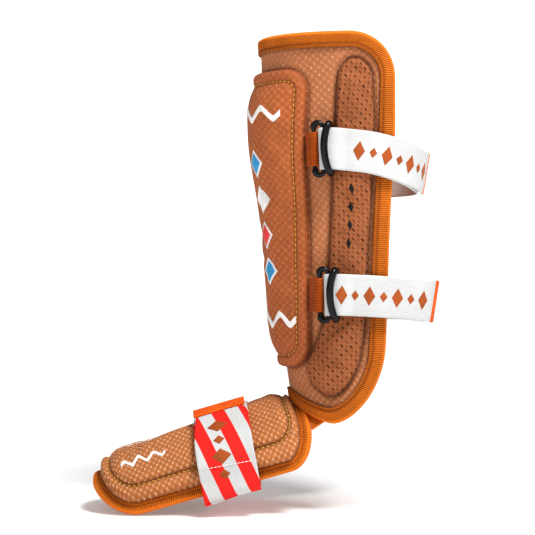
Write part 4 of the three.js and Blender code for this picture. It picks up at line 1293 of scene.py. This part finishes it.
def bar_ring(middle, across, up, wide, tall, corner, diameter, bow=0.0, bow_out=0.0, fuller=0.0, beyond=-4.0):
    """A round bar along a rounded rectangle in the plane of two directions. A bow moves its outer side out of
    the plane, and out in it, by a parabola of the height. The bar grows fuller towards that side, by a smooth
    step of the height that starts beyond a height."""
    flat, out = rounded_outline(wide, tall, corner)
    through = unit(np.cross(across, up))
    turn = np.linspace(0, 2 * np.pi, 16, endpoint=False)
    outer, height = np.clip(0.5 + flat[:, 0, None] / wide, 0, 1), np.abs(flat[:, 1, None])
    radius = diameter / 2 * (1 + fuller * outer * smoothstep(height, beyond, beyond + 4))
    reach, side = radius * np.cos(turn), radius * np.sin(turn)
    x = flat[:, 0, None] + out[:, 0, None] * reach
    y = flat[:, 1, None] + out[:, 1, None] * reach
    bowed = (1 - (2 * height / tall) ** 2) * outer
    x, z = x + bow_out * bowed, side + bow * bowed
    places = middle + x[..., None] * across + y[..., None] * up + z[..., None] * through
    return places.reshape(-1, 3), cells(*x.shape, True, True)[0]


def strap_fittings(row):
    """Oval loop, rubber keeper and webbing tab of a strap."""
    bar, along, off, up = loop_frame(row)
    oval = bar_ring(
        bar - along * LOOP.spacing / 2, -along, up, LOOP.spacing, LOOP.straight + LOOP.spacing,
        LOOP.spacing / 2, LOOP.bar, fuller=LOOP.fuller, beyond=TAB.width / 2 + 0.5,
    )
    piece("oval_loop_" + row.name, *oval, "loop_plastic", node="loop_" + row.name)

    degrees, z = np.array(row.keeper_angle, float), np.array(row.z, float)
    normal = leg_normal(np.radians(degrees), z)
    centre = leg_point(np.radians(degrees), z, row.keeper_lift + (STRAP.thickness + GAP) / 2)
    inside = 2 * STRAP.thickness + 6 * GAP
    keeper = bar_ring(
        centre, normal, strap_up(row, degrees), inside + KEEPER.bar, KEEPER.tall, KEEPER.corner, KEEPER.bar,
        KEEPER.bow, KEEPER.bow_out, KEEPER.fuller,
    )
    piece("rubber_keeper_" + row.name, *keeper, "keeper_rubber", node="keeper_" + row.name)

    front = bar - along * LOOP.spacing
    radius, floor = LOOP.bar / 2 + GAP + TAB.thickness / 2, row.keeper_lift + LOOP.over
    from_plate = math.radians(row.loop_angle) - plate_span(z)
    reach = from_plate * leg_rate(math.radians(row.loop_angle), z) - LOOP.spacing - TAB.clear
    turn = np.radians(np.linspace(TAB.wrap_start, TAB.wrap_end, 19))
    route = np.concatenate([
        np.linspace([-reach, TAB.outer_seat - floor], [-2.6, radius * 0.55], 12),
        np.stack([radius * np.cos(turn), radius * np.sin(turn)], 1),
        np.linspace([-1.0, -radius], [-reach, TAB.inner_seat - floor], 10),
    ])
    middle = front + route[:, :1] * along + route[:, 1:] * off
    _, normal, cross = frames_along(middle, up)
    tab = band(middle, normal, cross, TAB.width, TAB.thickness, 15)
    ribbon("webbing_tab_" + row.name, tab, "webbing", "tab_" + row.name)


# Foot pieces


def foot_rim_point(turn, inset, lift):
    """Point at a turn round the foot panel's rim."""
    share, side = foot_rim(turn)
    along = foot_along(FOOT_PAD, share, inset)
    return foot_point(along, foot_half(FOOT_PAD, along, inset) * side, lift)


def foot_outline(panel, inset):
    """Flat outline of a foot panel drawn in by inset, as along and round."""
    along = foot_along(panel, spread(RIM_STEPS), inset)
    half = foot_half(panel, along, inset)
    return closed_outline(np.concatenate([np.stack([along, half], 1), np.stack([along, -half], 1)[::-1]]))


def inside_foot(panel, flat, inset):
    """Whether flat places lie inside a foot panel drawn in by inset."""
    along, around = flat[..., 0], flat[..., 1]
    held = np.clip(along, panel.heel + inset, panel.toe - inset)
    return (held == along) & (np.abs(around) < foot_half(panel, held, inset))


def foot_grid(columns, rows, panel=FOOT_DOME, inset=0):
    """Places along and round the arch, singly and stacked, of a grid over a foot panel drawn in by inset."""
    along = foot_along(panel, spread(rows)[None], inset)
    around = foot_half(panel, along, inset) * spread(columns)[:, None]
    along = along + 0 * around
    return along, around, np.stack([along, around], -1)


def foot_base():
    """Arched base panel of the foot guard. Inside the tape it rises by a quarter circle to a padded roll, and
    a bell-shaped groove runs round the dome."""
    along, around, flat = foot_grid(*FOOT_GRID, FOOT_PAD, FOOT_TAPE.thickness + GAP + TAPE_GAP)
    to_tape = edge_distance(flat, foot_outline(FOOT_PAD, FOOT_TAPE.width)[0])
    to_dome = edge_distance(flat, foot_outline(FOOT_DOME, 0)[0])
    groove = FOOT_PAD.groove * bell(to_dome, FOOT_PAD.groove_reach)
    roll = FOOT_PAD.rise * quarter(to_tape / FOOT_PAD.shoulder) - groove
    lift = np.where(inside_foot(FOOT_PAD, flat, FOOT_TAPE.width), np.maximum(roll, 0), 0)
    lift = np.where(inside_foot(FOOT_DOME, flat, 0), FOOT_DOME.seat - GAP, lift)
    # Painted shade in the groove round the dome and beside the tape.
    crease = np.maximum(
        FOOT_CREASE.dome_share * bell(to_dome, FOOT_CREASE.dome),
        FOOT_CREASE.tape_share * bell(to_tape, FOOT_CREASE.tape),
    )
    outer, inner = (foot_point(along, around, level) for level in (lift, 0 * lift - FOOT.thickness))
    made = piece(
        "foot_base", *slab(outer, inner), "foot_mesh", two_sided(flat), node="foot_pad", crease=crease
    )
    return made


def foot_cushion():
    """Raised padded middle of the foot guard."""
    return padded_cover(
        "foot_cushion", foot_grid, foot_outline(FOOT_DOME, 0)[0], foot_point, FOOT_DOME, "foot_mesh",
        "foot_dome", *DOME_GRIDS,
    )


def smooth_path(knots, step):
    """Catmull-Rom curve through the knots, read at equal steps."""
    k = np.concatenate([2 * knots[:1] - knots[1:2], knots, 2 * knots[-1:] - knots[-2:-1]])
    t = np.linspace(0, 1, 24, endpoint=False)[:, None, None]
    a, b, c, d = k[:-3], k[1:-2], k[2:-1], k[3:]
    curve = 0.5 * (2 * b + (c - a) * t + (2 * a - 5 * b + 4 * c - d) * t**2 + (3 * b - a - 3 * c + d) * t**3)
    curve = np.concatenate([curve.transpose(1, 0, 2).reshape(-1, knots.shape[1]), knots[-1:]])
    total = lengths_along(curve)[-1]
    return at_lengths(curve, curve, np.linspace(0, total, int(total / step) + 1))


def foot_strap_route():
    """Route of the foot strap, as across, up and width: up the near side, over the dome, down the far side,
    under the foot and up the near side again to its narrower end."""
    side, under, corner = FOOT_STRAP.side, FOOT_STRAP.under, FOOT_STRAP.corner
    outside, wide, narrow = side + FOOT_STRAP.thickness + GAP, FOOT_STRAP.width, FOOT_STRAP.end_width
    over = np.radians(np.arange(-60, 61, 12))
    radius = FOOT.radius + FOOT_STRAP.dome_lift
    arch = np.stack([radius * np.sin(over), radius * np.cos(over) - FOOT.radius], 1)
    turn = np.radians([0, 30, 60, 90])
    low = under + corner - corner * np.sin(turn)
    far = np.stack([side - corner + corner * np.cos(turn), low], 1)
    near = np.stack([-outside + corner - corner * np.cos(turn), low], 1)[::-1]
    flat = np.concatenate([
        [[-side, -31], [0.5 - side, -22]], arch, [[side - 0.5, -22], [side, -32]], far,
        [[18, under], [-18, under]], near,
        [[-outside, -30], [-outside, -15], [-48.5, -1.8], [-37, 8.6], [-25.5, 16.6]],
    ])
    widths = np.full(len(flat), float(wide))
    widths[-2:] = (wide + narrow) / 2, narrow
    return np.column_stack([flat, widths])


def foot_strap_frames():
    """Width and middle line of the foot strap with its directions along, off the foot and across."""
    across, up, width = smooth_path(foot_strap_route(), 1.2).T
    middle = foot_place(FOOT_STRAP.middle - FOOT_STRAP.lean * (up - FOOT_STRAP.under), across, up)
    return width, middle, *frames_along(middle, FOOT_AXIS)


def foot_strap():
    """Striped elastic strap round the foot guard, leaning back to the heel as it rises, with its sewn end."""
    width, middle, along, normal, cross = foot_strap_frames()
    strap = band(middle, normal, cross, width, FOOT_STRAP.thickness, 21)
    ribbon("striped_strap", strap, "striped_elastic", "foot_strap")
    tip = ends_of(middle, along, normal, cross, FOOT_STRAP_TIP.length)
    tip = band(*tip, FOOT_STRAP_TIP.width, FOOT_STRAP_TIP.thickness, 31)
    ribbon("striped_end", tip, "orange_tip", "foot_strap_tip")


def heel_edge(around):
    """Place of the heel end along the foot axis, at a distance round the arch: an elliptical corner."""
    share = np.clip(1 - (FOOT_PAD.half_heel - np.abs(around)) / FOOT_PAD.heel_across, 0, 1)
    return FOOT_PAD.heel + FOOT_PAD.heel_along * (1 - np.sqrt(1 - share**2))


def ankle_link():
    """Short tab of tape between the shell's lower front rim and the heel end of the foot guard: straight
    lines between the two, with a thickness along the surface's normals."""
    share = np.linspace(-1, 1, 121)
    above = lerp(ANKLE.above, -ANKLE.clear, smoothstep(np.abs(share), 0.1, 0.4))
    inside = lerp(ANKLE.inside, ANKLE.depth, smoothstep(np.abs(share), 0.4, 0.8))
    shin = shell_point(np.radians(ANKLE.span_on_shin * share) / SHELL.half_span, 0 * share, above, -inside)
    around = ANKLE.span_on_foot * share
    foot = foot_point(heel_edge(around) - ANKLE.clear, around, 0 * share - ANKLE.depth)
    down = np.linspace(0, 1, 13)[None, :, None]
    middle = lerp(shin[:, None], foot[:, None], down)
    normal = unit(np.cross(np.gradient(middle, axis=0), np.gradient(middle, axis=1)))
    half = ANKLE.thickness / 2
    u = lengths_along(middle[:, 6])[:, None] + 0 * middle[..., 0]
    v = np.linalg.norm(middle - middle[:, :1], axis=-1)
    body = slab(middle + half * normal, middle - half * normal)
    return piece("ankle_link", *body, "edge_tape", two_sided(np.stack([u, v], -1)), node="ankle_tab")


# Seams


def leg_seam(name, flat, lift, finish, thickness):
    """A row of stitches on the leg along a flat line, at a lift over the leg surface."""
    z = flat[:, 1]
    angle = leg_angle(flat[:, 0], z)
    path = leg_point(angle, z, 0 * angle + lift)
    row = stitches(path, leg_normal(angle, z), in_mm("stitch_step"), in_mm("stitch"), thickness)
    return piece(name, *row, finish)


def tape_seam(name, place, tape):
    """The row of stitches in the groove of an edge tape."""
    turn = np.linspace(0, 4, 2401)
    inset = 0 * turn + tape.width - TAPE_GROOVE
    lift = 0 * turn + TAPE_GAP + tape.thickness + TAPE_STITCH.lift
    path = place(turn, inset, lift)
    out = unit(place(turn, inset, lift + 1) - path)
    row = stitches(path, out, TAPE_STITCH.step, TAPE_STITCH.length, in_mm("thread") * FINER)
    return piece(name, *row, "tape_thread")


def foot_seam():
    """The row of stitches in the channel round the foot dome."""
    flat, out = foot_outline(FOOT_DOME, 0)
    flat = flat + FOOT_SEAM.away * out
    along, around = np.concatenate([flat, flat[:1]]).T
    path = foot_point(along, around, 0 * along + FOOT_DOME.seat + FOOT_DOME.edge + FOOT_SEAM.lift)
    row = stitches(path, foot_normal(around), in_mm("stitch_step"), in_mm("stitch"), in_mm("thread"))
    return piece("foot_seam", *row, "thread")


def strap_seam():
    """The row of stitches across the foot strap."""
    _, middle, _, normal, cross = foot_strap_frames()
    place = on_ribbon(middle, normal, cross, FOOT_STRAP.thickness)
    across = np.linspace(-STRAP_STITCH.half, STRAP_STITCH.half, 40)
    flat, lift = np.stack([0 * across + FOOT_STRAP.seam, across], 1), 0 * across + STRAP_STITCH.lift
    path, above = place(flat, lift), place(flat, lift + 1)
    row = stitches(path, above - path, STRAP_STITCH.step, STRAP_STITCH.length, in_mm("thread") * FINER)
    return piece("strap_seam", *row, "white_trim")


# Trims


def share_of(value, low, high):
    """Share of a value from -1 at low to 1 at high."""
    return (value - (low + high) / 2) / (high - low) * 2


def moved(name, across, along):
    """Moves of a swollen cover at shares from -1 to 1 of the two directions of its grid."""
    return read_grid(COVERS[name], unspread(across), unspread(along))


def on_panel(flat, lift):
    """Points over the front panel at flat places, as swollen."""
    angle, z = leg_angle(flat[..., 0], flat[..., 1]), flat[..., 1]
    rise = padded_lift(edge_distance(flat, plate_outline()[0]), PLATE)
    up = share_of(z, PLATE.bottom, PLATE.top)
    return leg_point(angle, z, rise + lift) + moved("front_panel", angle / plate_span(z), up)


def on_side_pad(name, side):
    """Function that gives points over a side pad, as swollen."""

    def place(flat, lift):
        angle, z = leg_angle(flat[..., 0], flat[..., 1]), flat[..., 1]
        rise = padded_lift(edge_distance(flat, rib_outline(side)[0]), RIB)
        across, up = share_of(side * angle, *rib_edges(z)), share_of(z, RIB_BOTTOM, RIB_TOP)
        return leg_point(angle, z, rise + lift) + moved(name, across, up)

    return place


def on_cushion(flat, lift):
    """Points over the foot dome at places along and round the arch, as swollen."""
    along, around = flat[..., 0], flat[..., 1]
    rise = padded_lift(edge_distance(flat, foot_outline(FOOT_DOME, 0)[0]), FOOT_DOME)
    across, ahead = around / foot_half(FOOT_DOME, along, 0), share_of(along, FOOT_DOME.heel, FOOT_DOME.toe)
    return foot_point(along, around, rise + lift) + moved("foot_cushion", across, ahead)


def on_ribbon(middle, normal, cross, thickness):
    """Function that gives points over a strap, by the distance back from its end and the distance across."""

    def place(flat, lift):
        wanted, shape = (lengths_along(middle)[-1] - flat[..., 0]).ravel(), (*flat.shape[:-1], 3)
        line, out, side = (at_lengths(middle, v, wanted).reshape(shape) for v in (middle, normal, cross))
        return line + flat[..., 1:] * unit(side) + (thickness / 2 + lift)[..., None] * unit(out)

    return place


def lozenge(x, y, wide, tall):
    """Flat grid of a lozenge: x by half the difference and y by half the sum of two shares."""
    s, t = np.meshgrid(np.linspace(-1, 1, 5), np.linspace(-1, 1, 5), indexing="ij")
    return np.stack([x + wide / 4 * (s - t), y + tall / 4 * (s + t)], -1)


def zigzag(start, end, level, swing, period, width):
    """Flat grid of a zigzag band along the first direction: a triangle wave of the length, by the arcsine of
    a sine that is kept a little under 1, which blunts the corners."""
    along, blunt = np.linspace(start, end, int(abs(end - start) / period * 12) + 1), 0.97
    wave = np.arcsin(blunt * np.sin(2 * np.pi * (along - start) / period)) / np.arcsin(blunt)
    middle = level + swing * wave
    across = np.linspace(-0.5, 0.5, 5) * width * math.hypot(1, 4 * swing / period)
    return np.stack(np.broadcast_arrays(along[:, None], middle[:, None] + across), -1)


def trim(name, grids, place, height, finish):
    """Thin raised trim over flat grids: rounded off at its edges, its underside just below the cloth."""
    places, quads, count = [], [], 0
    for flat in grids:
        edges = [quarter(3 * (1 - np.abs(np.linspace(-1, 1, steps)))) for steps in flat.shape[:2]]
        tall = height * np.maximum(np.minimum(edges[0][:, None], edges[1]), 0.55)
        body = slab(place(flat, tall), place(flat, 0 * tall - TRIM_DEPTH))
        places.append(body[0])
        quads.append(body[1] + count)
        count += len(body[0])
    return piece(name, np.concatenate(places), np.concatenate(quads), finish)


def panel_trims():
    """White zigzag bands across the front panel, and white-edged lozenges down both sides of its middle."""
    rows = ((44, 88), (36, -72))
    bands = [zigzag(-reach, reach, z, swing=4.5, period=reach / 2, width=3.6) for reach, z in rows]
    trim("panel_bands", bands, on_panel, 0.8, "white_trim")
    for finish, heights in (("blue_trim", (50, -34)), ("white_trim", (22,)), ("red_trim", (-6,))):
        places = [(side * 16, z) for side in (-1, 1) for z in heights]
        edges = [lozenge(x, z, wide=17, tall=22) for x, z in places]
        inner = [lozenge(x, z, wide=12.5, tall=16) for x, z in places]
        trim("panel_edges_" + finish, edges, on_panel, 0.4, "white_trim")
        trim("panel_lozenges_" + finish, inner, on_panel, 1.2, finish)


def side_trims():
    """A row of small dark lozenges down each side pad."""
    for name, side in (("side_pad_near", 1), ("side_pad_far", -1)):
        z = np.array([29.0, 15, 1, -13])
        arc = leg_arc(side * sum(rib_edges(z)) / 2, z)
        row = [lozenge(x, y, wide=3.6, tall=8.5) for x, y in zip(arc, z)]
        trim("dots_" + name, row, on_side_pad(name, side), 0.6, "dark_trim")


def strap_lozenges(name, place, count, start, step, level, large, small):
    """A row of brown lozenges along a strap, large and small by turns."""
    row = [lozenge(start + step * k, level, *(small if k % 2 else large)) for k in range(count)]
    trim("lozenges_" + name, row, place, 0.3, "brown_trim")


def strap_trims():
    """Rows of lozenges along the shin straps and down the foot strap."""
    for row in STRAP_ROWS:
        middle, _, normal, cross = shin_strap_frames(row)
        place = on_ribbon(middle, normal, cross, STRAP.thickness)
        strap_lozenges(row.name, place, count=7, start=14, step=11, level=0, large=(9, 15), small=(6, 8))
    _, middle, _, normal, cross = foot_strap_frames()
    place = on_ribbon(middle, normal, cross, FOOT_STRAP.thickness)
    strap_lozenges("foot", place, count=4, start=17, step=14, level=3, large=(12, 16), small=(8, 9))


def foot_trims():
    """White zigzag lines across the toe end of the foot dome."""
    lines = [zigzag(110, 146, level, swing=2.6, period=12, width=2.0) for level in (-20, 4, 28)]
    trim("foot_lines", lines, on_cushion, 0.6, "white_trim")


# Stage


SENSOR = 36.0  # width of the camera's sensor in millimetres
VIEW_CENTRE = (-0.071, -0.0316)  # where the camera looks, along and up, in metres
LIT = Vector((-0.05, 0, -0.05))  # where the lights face


def area_light(name, place, size, power):
    """A square light that faces the part."""
    lamp = bpy.data.lights.new(name, "AREA")
    lamp.size, lamp.energy = size, power
    made = bpy.data.objects.new(name, lamp)
    made.location = place
    made.rotation_euler = (LIT - Vector(place)).to_track_quat("-Z", "Y").to_euler()
    bpy.context.scene.collection.objects.link(made)


def studio_floor():
    """Round white floor: rings about a middle point, with a glow that grows outwards and hides the edge."""
    rings, turn = np.array([0, *(150.0 * 2**k for k in range(7))]), np.arange(48) / 24 * np.pi
    low = CAD_BOX[0].z / MM - 0.6
    grid = point(rings[:, None] * np.cos(turn) - 70, rings[:, None] * np.sin(turn), low)
    mesh = bpy.data.meshes.new("studio_floor")
    mesh.from_pydata(grid.reshape(-1, 3) * MM, [], cells(*grid.shape[:2], False, True)[0].tolist())
    mesh.validate()
    finish, wiring, shader, _, place = new_finish("floor_paper", roughness=0.9, emission_strength=0.62)
    glow = wiring.ramp(wiring.vector("LENGTH", place), 0.28, 0.85)
    wiring.fill(shader["Emission Color"], wiring.blend(glow, (0.3, 0.3, 0.3, 1), (1, 1, 1, 1)))
    drift = wiring.group("Drift", position=place, scale=3.0)[0]
    wiring.fill(shader["Base Color"], wiring.blend(drift, (0.86, 0.86, 0.86, 1), (0.89, 0.89, 0.89, 1)))
    mesh.materials.append(finish)
    made = bpy.data.objects.new("studio_floor", mesh)
    bpy.context.scene.collection.objects.link(made)


def studio():
    """Camera, lights, white surroundings and floor."""
    scene, stage = bpy.context.scene, bpy.context.scene.leg_guard_stage
    lens = bpy.data.cameras.new("camera")
    lens.sensor_fit, lens.sensor_width = "HORIZONTAL", SENSOR
    lens.lens = SENSOR * stage.distance / stage.field
    camera = bpy.data.objects.new("camera", lens)
    camera.location = (VIEW_CENTRE[0], -stage.distance, VIEW_CENTRE[1])
    camera.rotation_euler = (math.pi / 2, 0, 0)
    scene.collection.objects.link(camera)
    scene.camera = camera
    scene.view_settings.view_transform = "Standard"
    scene.view_settings.look = "Medium High Contrast"
    world = bpy.data.worlds.new("white surroundings")
    scene.world = world
    world.use_nodes = True
    wiring = Wiring(world.node_tree)
    sky = world.node_tree.nodes["Background"]
    sky.inputs["Color"].default_value = (1, 1, 1, 1)
    seen = wiring.add("ShaderNodeLightPath").outputs["Is Camera Ray"]
    wiring.fill(sky.inputs["Strength"], wiring.scaled(seen, 1.05 - stage.sky, stage.sky))
    studio_floor()
    area_light("key", (0.45, -0.7, 1.25), size=0.45, power=stage.key)
    area_light("fill", (-0.5, -1.5, 0.35), size=1.0, power=stage.fill)


# Operators


class GuardOperator(bpy.types.Operator):
    """Base of the leg guard's operators. Each one builds its pieces and raises an error if it can't."""

    bl_idname = "leg_guard.base"
    bl_label = "Leg Guard"
    bl_options = {"REGISTER", "UNDO"}

    def execute(self, context):
        self.build()
        return {"FINISHED"}


class LEGGUARD_OT_stage(GuardOperator):
    """Set up the camera, the lights and the floor"""

    bl_idname = "leg_guard.stage"
    bl_label = "Stage"

    def build(self):
        studio()


class LEGGUARD_OT_shell(GuardOperator):
    """Build the foam shell and the tape round its edge"""

    bl_idname = "leg_guard.shell"
    bl_label = "Shell and Edge Tape"

    def build(self):
        shell_pad()
        edge_tape("shell_tape", shin_rim, SHIN_TAPE, SHELL.thickness, "shin_binding")
        tape_seam("shell_tape_seam", shin_rim, SHIN_TAPE)


class LEGGUARD_OT_panel(GuardOperator):
    """Build the raised front panel with its seam"""

    bl_idname = "leg_guard.panel"
    bl_label = "Front Panel"

    def build(self):
        front_panel()
        outline, out = plate_outline()
        lift = float(padded_lift(np.array(PLATE.seam), PLATE)) + PLATE_SEAM_LIFT
        flat = outline - PLATE.seam * out
        leg_seam("front_seam", np.concatenate([flat, flat[:1]]), lift, "thread", in_mm("thread"))


class LEGGUARD_OT_side_pads(GuardOperator):
    """Build both side pads with their seams"""

    bl_idname = "leg_guard.side_pads"
    bl_label = "Side Pads"

    def build(self):
        for name, side in (("near", 1), ("far", -1)):
            side_pad("side_pad_" + name, side)
            outline, out = rib_outline(side)
            back = slice(len(outline) // 2, -len(outline) // 12)
            line = (outline + SIDE_SEAM.away * out)[back]
            leg_seam("side_seam_" + name, line, SIDE_SEAM.lift, "pale_thread", in_mm("fine_thread"))


class LEGGUARD_OT_straps(GuardOperator):
    """Build the shin straps with their ends, loops, keepers and tabs"""

    bl_idname = "leg_guard.straps"
    bl_label = "Straps and Fittings"

    def build(self):
        for row in STRAP_ROWS:
            shin_strap(row)
            strap_fittings(row)


class LEGGUARD_OT_foot(GuardOperator):
    """Build the foot guard with its tape, seam and ankle link"""

    bl_idname = "leg_guard.foot"
    bl_label = "Foot Guard"

    def build(self):
        foot_base()
        foot_cushion()
        foot_seam()
        edge_tape("foot_tape", foot_rim_point, FOOT_TAPE, FOOT.thickness, "foot_binding")
        tape_seam("foot_tape_seam", foot_rim_point, FOOT_TAPE)
        ankle_link()


class LEGGUARD_OT_foot_strap(GuardOperator):
    """Build the striped foot strap with its seam and its end"""

    bl_idname = "leg_guard.foot_strap"
    bl_label = "Foot Strap"

    def build(self):
        foot_strap()
        strap_seam()


class LEGGUARD_OT_trims(GuardOperator):
    """Build the raised trims of the panel, the side pads, the straps and the foot guard"""

    bl_idname = "leg_guard.trims"
    bl_label = "Trims"

    def build(self):
        panel_trims()
        side_trims()
        strap_trims()
        foot_trims()


OPERATORS = (
    LEGGUARD_OT_stage,
    LEGGUARD_OT_shell,
    LEGGUARD_OT_panel,
    LEGGUARD_OT_side_pads,
    LEGGUARD_OT_straps,
    LEGGUARD_OT_foot,
    LEGGUARD_OT_foot_strap,
    LEGGUARD_OT_trims,
)


class LEGGUARD_PT_sidebar(bpy.types.Panel):
    """Lists the leg guard's operators and settings"""

    bl_idname = "LEGGUARD_PT_sidebar"
    bl_label = "Leg Guard"
    bl_space_type = "VIEW_3D"
    bl_region_type = "UI"
    bl_category = "Leg Guard"

    def draw(self, context):
        for operator in OPERATORS:
            self.layout.operator(operator.bl_idname)
        for name, kind in SETTINGS.items():
            box = self.layout.box()
            for key in kind.__annotations__:
                box.prop(getattr(context.scene, name), key)


SETTINGS = {
    "leg_guard_colours": GuardColours,
    "leg_guard_sizes": GuardSizes,
    "leg_guard_stage": StageSettings,
}
CLASSES = (*SETTINGS.values(), *OPERATORS, LEGGUARD_PT_sidebar)


def register():
    for kind in CLASSES:
        bpy.utils.register_class(kind)
    for name, kind in SETTINGS.items():
        setattr(bpy.types.Scene, name, bpy.props.PointerProperty(type=kind))


def unregister():
    for name in SETTINGS:
        delattr(bpy.types.Scene, name)
    for kind in reversed(CLASSES):
        bpy.utils.unregister_class(kind)


def main():
    register()
    bpy.ops.leg_guard.stage()
    bpy.ops.leg_guard.shell()
    bpy.ops.leg_guard.panel()
    bpy.ops.leg_guard.side_pads()
    bpy.ops.leg_guard.straps()
    bpy.ops.leg_guard.foot()
    bpy.ops.leg_guard.foot_strap()
    bpy.ops.leg_guard.trims()


if __name__ == "__main__":
    main()
